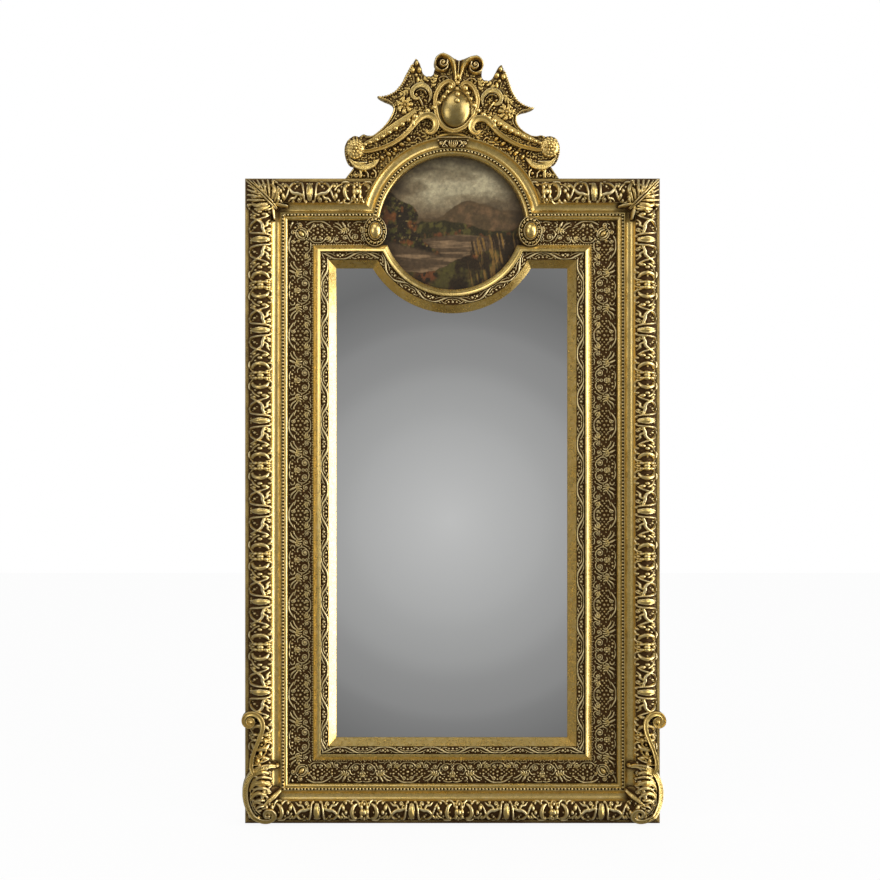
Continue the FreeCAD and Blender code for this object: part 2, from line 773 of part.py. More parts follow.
def make_medallions():
    place = (-MEDALLION_X, MEDALLION_Z)
    oval = Part.makeCylinder(1.0, 1.0, Vector(0, 0, 0), Vector(0, -1, 0))
    stretch = FreeCAD.Matrix()
    stretch.scale(MEDALLION_HALF_WIDTH, MEDALLION_FACE - PANEL_FACE, MEDALLION_HALF_HEIGHT)
    stretch.move(at(place[0], PANEL_FACE, place[1]))
    plinth = oval.transformGeometry(stretch)
    cabochon = dome(*place, CABOCHON_HALF_WIDTH, CABOCHON_HALF_HEIGHT, MEDALLION_FACE, CABOCHON_RISE)
    round_it = everything("outer_", "panel_", "liner_", "arch_", "filigree", "leaf_", "scroll_")
    plinth = minus(plinth, *round_it)
    keep("medallion_left", plinth)
    keep("medallion_right", mirrored(plinth))
    keep("cabochons", cabochon, mirrored(cabochon))


def make_top_leaves():
    """A leaf folded over each top corner, along the mitre."""
    middle = FLANGE_WIDTH + TORUS_WIDTH / 2
    band_crest = TORUS_CREST + SCROLL_BAND_RISE
    edge = TOP_LEAF_MARGIN
    seat = SIDE_HEIGHT + (FLANGE_HEIGHT - SIDE_HEIGHT) * edge / FLANGE_WIDTH
    start = (edge, seat)
    steps = [
        ((edge, seat + edge),),
        ((middle, band_crest + TOP_LEAF_RISE), (COVE_END, LIP_HEIGHT + edge)),
        ((COVE_END, LIP_HEIGHT),),
        ((COVE_START, TORUS_FOOT),),
        ((TORUS_END, TORUS_FOOT),),
        ((middle, band_crest), (FLANGE_WIDTH, FLANGE_HEIGHT)),
    ]
    w, t = HALF_WIDTH, FRAME_HEIGHT
    long, short = TOP_LEAF_LONG_REACH, TOP_LEAF_SHORT_REACH
    kite = zone((-w, t), (-w + long, t - short), (-w + short, t - long))
    cap = Part.makeCompound([member("left", (start, steps)), member("top", (start, steps))])
    leaf = cap.common(kite)
    keep("corner_leaf_top_left", leaf)
    keep("corner_leaf_top_right", mirrored(leaf))


def make_panel_corners():
    x = HALF_WIDTH - PANEL_CENTRE_U
    seat = PANEL_FACE + FILIGREE_RISE
    radius, rise = PANEL_CORNER_RADIUS, PANEL_CORNER_RISE
    heights = (PANEL_CENTRE_U * BOTTOM_RAIL_SHARE, rail_height(PANEL_CENTRE_U))
    keep("panel_corners", *[dome(s * x, z, radius, radius, seat, rise) for s in (-1, 1) for z in heights])


def make_corner_scrolls():
    """The leaf with its foot spiral, folded over each bottom corner, and the volute beside it."""
    middle = FLANGE_WIDTH + TORUS_WIDTH / 2
    band_crest = TORUS_CREST + SCROLL_BAND_RISE
    start = (0, SIDE_HEIGHT)
    steps = [
        ((0, SIDE_HEIGHT + ACANTHUS_EDGE),),
        ((middle, band_crest + ACANTHUS_RISE), (ACANTHUS_END, TORUS_FOOT + ACANTHUS_EDGE)),
        ((ACANTHUS_END, TORUS_FOOT),),
        ((TORUS_END, TORUS_FOOT),),
        ((middle, band_crest), (FLANGE_WIDTH, FLANGE_HEIGHT)),
    ]
    cap = Part.makeCompound([member("left", (start, steps)), member("bottom", (start, steps))])
    top = band_crest + 2 * ACANTHUS_RISE
    oval = (-ACANTHUS_X, ACANTHUS_Z, ACANTHUS_HALF_WIDTH, ACANTHUS_HALF_HEIGHT)
    spiral = post(FOOT_SPIRAL_RADIUS, FOOT_SPIRAL_Z, 0, top, -FOOT_SPIRAL_X)
    leaf = cap.common(oval_post(*oval, 0, top).fuse(spiral))
    keep("corner_leaf_bottom_left", leaf)
    keep("corner_leaf_bottom_right", mirrored(leaf))
    frame = everything("outer_", "scroll_")

    volute = post(
        SIDE_VOLUTE_RADIUS, SIDE_VOLUTE_Z, FLANGE_HEIGHT, SIDE_VOLUTE_FACE, -SIDE_VOLUTE_X
    )
    path = [(24, 124), (18, 150), (24, 180), (36, 208), (43, 236), (35, 260), (18, 267)]
    path = [(u - HALF_WIDTH, z) for u, z in path]
    stem = horn(path, [7, 8, 8, 7, 7, 6, 5], TORUS_CREST + SCROLL_BAND_RISE)
    volute = minus(volute.fuse(stem), *frame, leaf)
    keep("side_volute_left", volute)
    keep("side_volute_right", mirrored(volute))


# ================================================================ hardware
def plate(x, z, wide, high, seat):
    """A flat steel plate, centred on (x, z), that lies on wood at a distance from the wall."""
    x0, x1, z0, z1 = x - wide / 2, x + wide / 2, z - high / 2, z + high / 2
    return slab((x0, z0), [((x0, z1),), ((x1, z1),), ((x1, z0),)], seat - STEEL, seat)


def screw(x, z, under_head):
    """A screw driven forward, its head on a surface at a distance from the wall."""
    head = post(HEAD_RADIUS, z, under_head - HEAD_HEIGHT, under_head, x)
    shank = post(SCREW_RADIUS, z, under_head, under_head + SCREW_LENGTH, x)
    return head.fuse(shank)


def make_mending_plates():
    """Plates across the joints of the back: crest to rails, and roundel to its neighbours."""
    seat, half = STRAP_SEAT, STRAP_LENGTH / 2
    top = CARRIER_CENTRE + CARRIER_RADIUS
    upright = [(-STRAP_X, FRAME_HEIGHT), (STRAP_X, FRAME_HEIGHT), (0, top)]
    level = [(-CARRIER_RADIUS, MEDALLION_Z), (CARRIER_RADIUS, MEDALLION_Z)]
    plates = [plate(x, z, STRAP_WIDTH, STRAP_LENGTH, seat) for x, z in upright]
    plates += [plate(x, z, STRAP_LENGTH, STRAP_WIDTH, seat) for x, z in level]
    steps = [share * half for share in (-0.75, -0.35, 0.35, 0.75)]
    screws = [screw(x, z + step, seat - STEEL) for x, z in upright for step in steps]
    screws += [screw(x + step, z, seat - STEEL) for x, z in level for step in steps]
    keep("mending_plates", *[minus(p, *screws) for p in plates])
    room = STRAP_WIDTH + 2 * CLEARANCE
    pockets = [
        Part.makeBox(room, seat, half + CLEARANCE, Vector(x - room / 2, -seat, z - half - CLEARANCE))
        for x, z in upright[:2]
    ]
    return screws, pockets


def brace_outline(grow):
    """An L in the bottom left corner, grown all round."""
    near, far = BRACE_INSET - grow, BRACE_INSET + BRACE_REACH + grow
    inner = BRACE_INSET + BRACE_WIDTH + grow
    corner = [(near, near), (near, far), (inner, far), (inner, inner), (far, inner), (far, near)]
    return [(x - HALF_WIDTH, z) for x, z in corner]


def four_corners(shape):
    pair = [shape, shape.mirror(Vector(0, 0, FRAME_HEIGHT / 2), Vector(0, 0, 1))]
    return pair + [mirrored(s) for s in pair]


def make_braces():
    seat = HEAD_HEIGHT + STEEL + CLEARANCE
    outline = brace_outline(0)
    brace = slab(outline[0], [(p,) for p in outline[1:]], seat - STEEL, seat)
    middle = BRACE_INSET + BRACE_WIDTH / 2
    places = [(middle, BRACE_INSET + share * BRACE_REACH) for share in (0.5, 0.85)]
    places += [(b, a) for a, b in places]
    screws = [screw(a - HALF_WIDTH, b, seat - STEEL) for a, b in places]
    keep("corner_braces", *four_corners(minus(brace, *screws)))
    grown = brace_outline(CLEARANCE)
    pocket = slab(grown[0], [(p,) for p in grown[1:]], -CLEARANCE, seat)
    return [s for one in screws for s in four_corners(one)], four_corners(pocket)


def ring_shape(x, h, z):
    """A D ring that hangs from a straight leg along X."""
    r, wire, low = RING_HALF_WIDTH, RING_WIRE_RADIUS, z - RING_LEG
    shape = Part.makeCylinder(wire, 2 * r, at(x - r, h, z), Vector(1, 0, 0))
    for side in (-1, 1):
        corner = Part.makeSphere(wire, at(x + side * r, h, z))
        leg = Part.makeCylinder(wire, RING_LEG, at(x + side * r, h, low), Vector(0, 0, 1))
        shape = shape.fuse(corner).fuse(leg)
    bow = Part.makeTorus(r, wire, at(x, h, low), Vector(0, 1, 0))
    below = Part.makeBox(4 * r, 4 * r, 2 * r, Vector(x - 2 * r, -h - 2 * r, low - 2 * r))
    return shape.fuse(bow.common(below)).removeSplitter()


def make_hangers():
    """The strap hangers in their pockets, and the D rings that swing in them."""
    x, z, seat = -HANGER_X, HANGER_Z, HANGER_POCKET
    pin_h = seat - BARREL_RADIUS
    back = seat - HANGER_THICKNESS
    wide = HANGER_PLATE_WIDTH
    strap = Part.makeBox(
        wide, HANGER_THICKNESS, HANGER_PLATE_LENGTH, at(x - wide / 2, seat, z - HANGER_PLATE_LENGTH)
    )
    along_x = Vector(1, 0, 0)
    start = at(x - wide / 2, pin_h, z)
    barrel = Part.makeCylinder(BARREL_RADIUS, wide, start, along_x)
    bore = Part.makeCylinder(RING_WIRE_RADIUS + RING_RUNNING_GAP, wide, start, along_x)
    low_screw = z - HANGER_PLATE_LENGTH + HANGER_SCREW_EDGE
    screws = [screw(x, s, back) for s in (low_screw, low_screw + HANGER_SCREW_PITCH)]
    hanger = minus(strap.fuse(barrel), bore, *screws)
    ring = ring_shape(x, pin_h, z)
    keep("hanger_straps", hanger, mirrored(hanger))
    keep("hanging_ring_left", ring)
    keep("hanging_ring_right", mirrored(ring))

    reach = RING_HALF_WIDTH + RING_WIRE_RADIUS + POCKET_MARGIN
    above = RING_LEG + reach
    below = HANGER_PLATE_LENGTH + POCKET_MARGIN
    pocket = Part.makeBox(2 * reach, seat, above + below, at(x - reach, seat, z - below))
    return screws + [mirrored(s) for s in screws], [pocket, mirrored(pocket)]


def make_hardware():
    fitted = [make_mending_plates(), make_braces(), make_hangers()]
    screws = [s for some, _ in fitted for s in some]
    pockets = [p for _, some in fitted for p in some]
    keep("screws", *screws)
    for name in list(made):
        if name.startswith("outer_") and name != "outer_beads":
            keep(name, minus(Part.makeCompound(made[name]), *pockets, *screws))
        elif name in ("crest_board", "roundel_board") or name.startswith("panel_rail_top"):
            keep(name, minus(Part.makeCompound(made[name]), *screws))


# ================================================================ build and export
def export():
    os.makedirs("parts", exist_ok=True)
    for name, solids in made.items():
        shape = solids[0] if len(solids) == 1 else Part.makeCompound(solids)
        shape.exportStep(f"parts/{name}.step")


make_frames()
make_running_ornament()
make_glass_and_picture()
make_crest()
make_medallions()
make_top_leaves()
make_panel_corners()
make_corner_scrolls()
make_hardware()
export()
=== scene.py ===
import json
import math
import bpy
import numpy as np
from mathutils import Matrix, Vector


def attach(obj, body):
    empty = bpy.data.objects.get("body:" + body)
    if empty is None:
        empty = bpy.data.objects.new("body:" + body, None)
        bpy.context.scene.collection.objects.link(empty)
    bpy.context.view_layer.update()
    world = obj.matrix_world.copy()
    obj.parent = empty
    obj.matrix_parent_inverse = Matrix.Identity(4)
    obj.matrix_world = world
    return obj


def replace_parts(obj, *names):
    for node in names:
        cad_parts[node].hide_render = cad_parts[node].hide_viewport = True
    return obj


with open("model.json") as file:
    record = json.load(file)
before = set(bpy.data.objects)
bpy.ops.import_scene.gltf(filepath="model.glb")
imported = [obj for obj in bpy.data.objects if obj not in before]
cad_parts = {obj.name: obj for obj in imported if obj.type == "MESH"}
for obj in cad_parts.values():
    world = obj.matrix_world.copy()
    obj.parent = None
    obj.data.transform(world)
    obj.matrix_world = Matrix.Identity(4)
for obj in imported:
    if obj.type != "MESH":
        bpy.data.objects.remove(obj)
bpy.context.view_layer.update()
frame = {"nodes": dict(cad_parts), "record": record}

# Trumeau mirror. All drawing is in millimetres in the frame's own coordinates: x to the right,
# z up and h forward from the wall. link() turns them into the scene's metres.

random = np.random.default_rng(7)

HALF_WIDTH, HEIGHT = 498.0, 1548.0  # the frame without its ornament
TOP_SHARE, BOTTOM_SHARE = 0.976, 0.924  # width of the rails' mouldings over that of the stiles'
ARCH_CENTRE, ARCH_EDGE = 1426.6, 218.4  # the moulding over the picture: its centre's height, its outer radius
ARCH_REACH = 279.4  # a line u in from the frame's edge runs over the arch at this radius less u
BEAD_RADIUS = 188.4  # of the bead string over the arch
ARCH_CLEAR, EDGE_CLEAR = 219.5, 219.4  # the outer scrolls and the flat edge band end at these radii
ARC_CENTRE, ARC_MORE = 1448.0, 3.0  # the liner under the picture: a line u in has the radius u + ARC_MORE
PICTURE_CENTRE, PICTURE_CLEAR = 1437.0, 180.0  # the panel's ornament stays this far from the picture's centre
LACE_IN, LACE_OUT = 103.3, 160.9  # the filigree's edges, in from the frame's edge
VINE_IN, VINE_OUT, VINE_MIDDLE = 181.3, 200.7, 194.0  # the leaf band's edges, and its middle radius in the arc
CREST_DATUM, CREST_GROUND, CREST_BACK = 1616.0, 48.0, 34.0
CORNER_X, CORNER_LOW, CORNER_TOP = 364.5, 123.4, 1417.7  # the knots at the panel's corners
KNOT_CLEAR = 22.6
CORNER_BACK = 46.0
MEDALLION_X, MEDALLION_Z = 186.0, 1420.6
SIDES = (("left", -1), ("right", 1))
RUNS = ("left", "right", "bottom", "top")
TURN = 2 * math.pi
NOWHERE = -1e9  # lower than any carving


# ================================================================ camera, light and ground
def add_object(name, data):
    made = bpy.data.objects.new(name, data)
    bpy.context.scene.collection.objects.link(made)
    return made


def make_camera():
    """Looks straight at the wall from a little left of the mirror, and is shifted to frame it."""
    distance, width, plane = 3.2, 2.112, 0.054  # to the plane that is seen this wide, and that plane's place
    left, middle = 0.30, 0.030
    data = bpy.data.cameras.new("camera")
    camera = add_object("camera", data)
    camera.location = (-left, -(distance + plane), 0.92)
    camera.rotation_euler = (math.pi / 2, 0, 0)
    data.sensor_width = 36.0
    data.lens = data.sensor_width * distance / width
    data.shift_x = (left - middle) / width
    data.clip_end = 60.0
    bpy.context.scene.camera = camera
    bpy.context.scene.view_settings.view_transform = "Standard"


def grey(value):
    return (value, value, value, 1.0)


class Nodes:
    """Short hand for building a node tree."""

    def __init__(self, tree):
        self.tree = tree
        tree.nodes.clear()

    def add(self, kind, inputs=None, **settings):
        node = self.tree.nodes.new(kind)
        for key, value in settings.items():
            setattr(node, key, value)
        for key, value in (inputs or {}).items():
            self.put(node.inputs[key], value)
        return node

    def put(self, socket, value):
        if isinstance(value, bpy.types.NodeSocket):
            self.tree.links.new(value, socket)
        else:
            socket.default_value = value

    def math(self, operation, a, b, clamp=False):
        return self.add("ShaderNodeMath", {0: a, 1: b}, operation=operation, use_clamp=clamp).outputs[0]

    def plus(self, a, b, clamp=False):
        return self.math("ADD", a, b, clamp)

    def times(self, a, b):
        return self.math("MULTIPLY", a, b)

    def ramp(self, value, *stops):
        """A colour ramp; each stop is (place, red, green, blue)."""
        node = self.add("ShaderNodeValToRGB", {"Fac": value})
        band = node.color_ramp.elements
        while len(band) < len(stops):
            band.new(0.5)
        for element, (place, *colour) in zip(band, stops):
            element.position = place
            element.color = (*colour, 1.0)
        return node.outputs["Color"]

    def span(self, value, low, high, to_low=0.0, to_high=1.0):
        inputs = {"Value": value, "From Min": low, "From Max": high, "To Min": to_low, "To Max": to_high}
        return self.add("ShaderNodeMapRange", inputs).outputs["Result"]

    def noise(self, vector, scale, detail, roughness):
        inputs = {"Vector": vector, "Scale": scale, "Detail": detail, "Roughness": roughness}
        return self.add("ShaderNodeTexNoise", inputs).outputs["Fac"]

    def blend(self, share, a, b):
        return self.add("ShaderNodeMixRGB", {"Fac": share, "Color1": a, "Color2": b}).outputs["Color"]

    def place(self):
        return self.add("ShaderNodeTexCoord").outputs["Object"]

    def upright(self, place, share):
        """The place drawn out along z, for grain and brush marks."""
        return self.add("ShaderNodeMapping", {"Vector": place, "Scale": (1.0, 1.0, share)}).outputs[0]

    def field(self, name):
        return self.add("ShaderNodeAttribute", attribute_name=name).outputs

    def axes(self, vector):
        return self.add("ShaderNodeSeparateXYZ", {"Vector": vector}).outputs

    def bump(self, height, strength, distance):
        inputs = {"Height": height, "Strength": strength, "Distance": distance}
        return self.add("ShaderNodeBump", inputs).outputs[0]

    def surface(self, colour, rough, normal=None, **more):
        """The shader of a surface; more names its other inputs, with _ for a space."""
        inputs = {"Base Color": colour, "Roughness": rough, **({} if normal is None else {"Normal": normal})}
        inputs.update({key.replace("_", " "): value for key, value in more.items()})
        return self.add("ShaderNodeBsdfPrincipled", inputs).outputs[0]

    def mix(self, share, a, b):
        return self.add("ShaderNodeMixShader", {0: share, 1: a, 2: b}).outputs[0]

    def finish(self, shader, kind="Material"):
        self.add(f"ShaderNodeOutput{kind}", {"Surface": shader})


def make_world():
    """A pale studio. What shines sees soft panels at the right and above, and a grey room in front."""
    world = bpy.data.worlds.new("studio")
    bpy.context.scene.world = world
    world.use_nodes = True
    n = Nodes(world.node_tree)
    direction = n.add("ShaderNodeTexCoord").outputs["Generated"]
    x, y, z = n.axes(direction)
    # the grey room: brightest a little right of straight ahead of the glass, falling away round it
    ahead = (0.091, -0.994, -0.060)
    away = n.add("ShaderNodeVectorMath", {0: direction, 1: ahead}, operation="DISTANCE").outputs["Value"]
    room = (
        (0.0, 0.578), (0.045, 0.50), (0.067, 0.457), (0.082, 0.411), (0.104, 0.367), (0.119, 0.307), (0.141, 0.275),
        (0.149, 0.237), (0.159, 0.214), (0.18, 0.170), (0.26, 0.25), (0.6, 0.30), (1.0, 0.22),
    )
    glow = n.ramp(away, *((place, *grey(value)[:3]) for place, value in room))
    panels = (
        (x, 0.40, 0.80, (0.56, 0.54, 0.50)), (x, -0.40, -0.80, (0.26, 0.26, 0.26)),
        (z, 0.40, 0.80, (0.20, 0.20, 0.19)), (z, -0.35, -0.65, (0.18, 0.17, 0.15)),
        (x, -0.90, -0.985, (0.18, 0.18, 0.18)), (z, 0.90, 0.985, (0.22, 0.22, 0.22)),
        (z, -0.70, -0.85, (0.24, 0.23, 0.20)), (z, -0.955, -0.985, (0.06, 0.055, 0.05)),
    )
    for axis, low, high, colour in panels:
        glow = n.blend(n.span(axis, low, high), glow, (*colour, 1.0))
    window = n.times(n.span(x, 0.82, 0.93), n.span(y, 0.08, -0.10))
    glow = n.blend(window, glow, (7.0, 6.9, 6.6, 1.0))
    sky = lambda colour, strength: n.add("ShaderNodeBackground", {"Color": colour, "Strength": strength}).outputs[0]
    ray = n.add("ShaderNodeLightPath").outputs
    light = n.mix(ray["Is Glossy Ray"], sky(grey(1.0), 0.75), sky(glow, 1.0))
    n.finish(n.mix(ray["Is Camera Ray"], light, sky(grey(1.0), 1.0)), "World")


def make_light(name, place, target, size, power):
    data = bpy.data.lights.new(name, "AREA")
    data.shape = "RECTANGLE"
    data.size, data.size_y = size
    data.energy = power
    data.color = (1.0, 0.97, 0.92)
    lamp = add_object(name, data)
    lamp.location = place
    lamp.rotation_euler = (Vector(target) - Vector(place)).to_track_quat("-Z", "Y").to_euler()


# ================================================================ materials
def material(name):
    made = bpy.data.materials.new(name)
    made.use_nodes = True
    return made, Nodes(made.node_tree)


def gold_material(name, carved, shade=1.0, patina_shade_amount=1.0):
    """Old gold leaf: olive gold on the flats, cream where rubbed and as a painted highlight on carved ridges, umber in
    the hollows as patina and painted shade; bare wood behind.
    """
    made, n = material(name)
    place = n.place()
    cloud = n.noise(place, 9.0, 4.0, 0.6)
    speck = n.noise(place, 420.0, 2.0, 0.6)
    grain = n.noise(place, 90.0, 4.0, 0.65)
    # Umber gathers where ambient occlusion, the relief's depth and the cavity mark find the gilt low or hemmed in:
    # partly patina, partly painted shade.
    near = n.add("ShaderNodeAmbientOcclusion", {"Distance": 0.012 if carved else 0.016}, samples=6)
    hollow = n.math("SUBTRACT", 1.0, near.outputs["AO"])
    if carved:
        cavity = n.field("cavity")["Fac"]
        low = n.span(n.field("relief")["Fac"], 0.04, 0.50, 0.62 * patina_shade_amount, 0.0)
        pit = n.span(cavity, 0.52, 0.22, 0.0, 0.85 * patina_shade_amount)
        patina_and_shade = n.plus(n.plus(low, pit), n.times(hollow, 0.50 * patina_shade_amount))
        # Carved ridges that stand over their surroundings turn cream: a painted highlight. On plain mouldings the cream
        # follows the grain at random, as rubbed leaf.
        rub_and_highlight = n.span(cavity, 0.60, 0.92, 0.0, 0.8)
        smooth, coat = (0.27, 0.38), 0.2
    else:
        # On plain mouldings ambient occlusion alone darkens the corners: patina and painted shade.
        patina_and_shade = n.times(hollow, 1.25)
        rub_and_highlight = n.span(grain, 0.52, 0.74, 0.0, 0.4)
        smooth, coat = (0.23, 0.33), 0.55 * shade
    patina_and_shade = n.plus(patina_and_shade, n.span(cloud, 0.35, 0.75, -0.10, 0.14))
    patina_and_shade = n.plus(patina_and_shade, n.span(speck, 0.3, 0.7, -0.06, 0.08), clamp=True)
    # The shade factor darkens the whole gilt, for a darker copy of it: painted shade.
    tone = lambda r, g, b: (r * shade, g * shade, b * shade, 1.0)
    leaf = n.blend(cloud, tone(0.78, 0.55, 0.16), tone(0.88, 0.66, 0.24))
    leaf = n.blend(rub_and_highlight, leaf, tone(1.0, 0.86, 0.52))
    normal = n.bump(n.plus(grain, n.times(speck, 0.4)), 0.35, 0.0006)
    gilt = n.surface(
        n.blend(n.span(patina_and_shade, 0.18, 0.72), leaf, (0.060, 0.029, 0.008, 1.0)),
        n.plus(n.span(grain, 0.3, 0.7, *smooth), n.times(patina_and_shade, 0.3)), normal,
        Metallic=n.span(patina_and_shade, 0.2, 0.8, 1.0, 0.4), Specular_IOR_Level=n.span(patina_and_shade, 0.3, 0.8, 0.4, 0.12),
        Coat_Weight=n.span(patina_and_shade, 0.2, 0.6, coat, 0.0), Coat_Roughness=0.25,
    )
    backward = n.axes(n.add("ShaderNodeNewGeometry").outputs["Normal"])[1]
    fibre = n.plus(n.times(n.noise(n.upright(place, 0.12), 60.0, 6.0, 0.65), 0.7), n.times(cloud, 0.3))
    timber = n.ramp(fibre, (0.3, 0.30, 0.18, 0.09), (0.5, 0.48, 0.32, 0.17), (0.7, 0.60, 0.43, 0.25))
    n.finish(n.mix(n.span(backward, 0.80, 0.90), gilt, n.surface(timber, 0.7, normal)))
    return made


def mirror_material():
    made, n = material("silvered_glass")
    place = n.place()
    haze = n.noise(place, 3.0, 5.0, 0.6)
    dust = n.noise(place, 600.0, 1.0, 0.5)
    colour = n.blend(haze, (0.86, 0.87, 0.865, 1.0), (0.90, 0.905, 0.90, 1.0))
    rough = n.plus(n.span(haze, 0.3, 0.7, 0.010, 0.022), n.span(dust, 0.6, 0.9, 0.0, 0.02))
    n.finish(n.surface(colour, rough, Metallic=1.0))
    return made


def wood_material():
    made, n = material("bare_wood")
    place = n.upright(n.place(), 0.12)
    grain = n.noise(place, 60.0, 6.0, 0.65)
    fibre = n.noise(place, 420.0, 3.0, 0.6)
    rings = n.add("ShaderNodeTexWave", {"Vector": place, "Scale": 14.0, "Distortion": 6.0, "Detail": 3.0})
    tone = n.plus(n.times(grain, 0.6), n.times(rings.outputs["Fac"], 0.3))
    colour = n.ramp(tone, (0.2, 0.33, 0.20, 0.10), (0.5, 0.52, 0.35, 0.19), (0.8, 0.64, 0.47, 0.28))
    n.finish(n.surface(colour, n.span(fibre, 0.3, 0.7, 0.55, 0.75), n.bump(n.plus(grain, fibre), 0.3, 0.0005)))
    return made


def hardboard_material():
    made, n = material("hardboard")
    place = n.place()
    fibre = n.noise(place, 500.0, 4.0, 0.7)
    blotch = n.noise(place, 12.0, 5.0, 0.6)
    tone = n.plus(n.times(fibre, 0.5), n.times(blotch, 0.5))
    colour = n.ramp(tone, (0.3, 0.20, 0.12, 0.06), (0.7, 0.36, 0.24, 0.13))
    n.finish(n.surface(colour, 0.7, n.bump(fibre, 0.25, 0.0003)))
    return made


def metal_material(name, colour, worn):
    made, n = material(name)
    place = n.place()
    brushed = n.noise(n.upright(place, 0.08), 900.0, 3.0, 0.6)
    blotch = n.noise(place, 45.0, 5.0, 0.65)
    tone = n.blend(n.span(blotch, 0.45, 0.7), (*colour, 1.0), (*worn, 1.0))
    rough = n.plus(n.span(blotch, 0.3, 0.7, 0.28, 0.48), n.span(brushed, 0.3, 0.7, -0.05, 0.05))
    n.finish(n.surface(tone, rough, n.bump(brushed, 0.15, 0.0002), Metallic=1.0))
    return made


def ground_material():
    """A pale floor, nearly the white of the backdrop to the camera, that keeps the object's shadow."""
    made, n = material("pale_floor")
    matt = n.add("ShaderNodeBsdfDiffuse", {"Color": grey(0.86)}).outputs[0]
    white = n.add("ShaderNodeEmission", {"Color": grey(1.0), "Strength": 1.0}).outputs[0]
    seen = n.add("ShaderNodeLightPath").outputs["Is Camera Ray"]
    n.finish(n.mix(n.times(seen, 0.93), matt, white))
    return made


def paint_material():
    made, n = material("oil_painting")
    place = n.place()
    stroke = n.noise(place, 260.0, 3.0, 0.6)
    craze = n.add("ShaderNodeTexVoronoi", {"Vector": place, "Scale": 120.0}, feature="DISTANCE_TO_EDGE")
    crack = n.span(craze.outputs["Distance"], 0.0, 0.035, 0.25, 0.0)
    paint = n.blend(n.span(stroke, 0.35, 0.65, 0.0, 0.14), n.field("paint")["Color"], (0.12, 0.08, 0.03, 1.0))
    paint = n.blend(crack, paint, (0.05, 0.035, 0.02, 1.0))
    rough, normal = n.span(stroke, 0.3, 0.7, 0.32, 0.46), n.bump(n.math("SUBTRACT", stroke, crack), 0.5, 0.0006)
    n.finish(n.surface(paint, rough, normal, Specular_IOR_Level=0.35))
    return made


GOLD = gold_material("gilt_moulding", False)
CARVED_GOLD = gold_material("gilt_carving", True)
# The lace and the shield take darker copies of the gilt: painted shade. The crest takes less of the patina and painted
# shade in its hollows.
LACE_GOLD = gold_material("gilt_lace", True, 0.80)
CREST_GOLD = gold_material("gilt_crest", True, 1.0, 0.66)
SHIELD_GOLD = gold_material("gilt_shield", False, 0.55)
WOOD = wood_material()
BY_SLOT = {
    "gilt_wood": GOLD,
    "silvered_glass": mirror_material(),
    "picture": WOOD,
    "hardboard": hardboard_material(),
    "bare_wood": WOOD,
    "zinc_steel": metal_material("zinc_steel", (0.62, 0.64, 0.66), (0.36, 0.37, 0.38)),
    "brass_hardware": metal_material("brass_hardware", (0.72, 0.53, 0.25), (0.40, 0.28, 0.12)),
}


def dress_frame():
    """Gives every CAD node the finish of its material slot, but the shield a darker copy of the gilt: painted shade."""
    for part in frame["record"]["subparts"]:
        node = frame["nodes"][part["node"]]
        node.data.materials.clear()
        finish = SHIELD_GOLD if part["node"] == "cartouche_shield" else BY_SLOT[part["material_slot"]]
        node.data.materials.append(finish)


def make_ground():
    mesh = bpy.data.meshes.new("floor")
    half, under = 6, -0.002
    corners = [(-half, -half, under), (half, -half, under), (half, half, under), (-half, half, under)]
    mesh.from_pydata(corners, [], [(0, 1, 2, 3)])
    floor = add_object("floor", mesh)
    mesh.materials.append(ground_material())
    floor.visible_glossy = False


# ================================================================ meshes
def link(name, verts, faces, relief, cavity, body="frame", slot="gilt_wood", finish=None, smooth=True):
    """A piece from vertices in millimetres (x, h, z) and rows of four corners (a triangle repeats its last)."""
    triangle = faces[:, 2] == faces[:, 3]
    sizes = np.where(triangle, 3, 4)
    corners = faces[~(triangle[:, None] & np.array([False, False, False, True]))]
    mesh = bpy.data.meshes.new(name)
    mesh.vertices.add(len(verts))
    co = np.column_stack([verts[:, 0], -verts[:, 1], verts[:, 2]]) / 1000.0
    mesh.vertices.foreach_set("co", co.astype(np.float32).ravel())
    mesh.loops.add(int(sizes.sum()))
    mesh.loops.foreach_set("vertex_index", corners.astype(np.int32))
    mesh.polygons.add(len(sizes))
    mesh.polygons.foreach_set("loop_start", (np.cumsum(sizes) - sizes).astype(np.int32))
    mesh.update(calc_edges=True)
    mesh.polygons.foreach_set("use_smooth", np.full(len(sizes), smooth))
    for key, values in (("relief", relief), ("cavity", cavity)):
        mesh.attributes.new(key, "FLOAT", "POINT").data.foreach_set("value", np.asarray(values, np.float32))
    mesh.materials.append(finish or CARVED_GOLD)
    mesh.validate()
    piece = add_object(name, mesh)
    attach(piece, body)
    return piece


def numbers(text):
    """Numbers from a line of text: "1 2 3" gives a row of three, and "1,2 3,4" gives two rows of two."""
    rows = np.array([[float(value) for value in word.split(",")] for word in text.split()])
    return rows if rows.shape[1] > 1 else rows[:, 0]


def spread(values, count):
    """A few values spread evenly over a number of places."""
    values = np.atleast_1d(values)
    return np.interp(np.linspace(0, 1, count), np.linspace(0, 1, len(values)), values)


def lengths(line):
    """How far along a line each of its points lies."""
    return np.concatenate([[0], np.cumsum(np.hypot(*np.diff(line, axis=0).T))])


def around(count, half=1.0, high=1.0, x=0.0, z=0.0):
    """Points evenly round an oval."""
    return [(x + half * math.cos(t), z + high * math.sin(t)) for t in np.linspace(0, TURN, count, endpoint=False)]


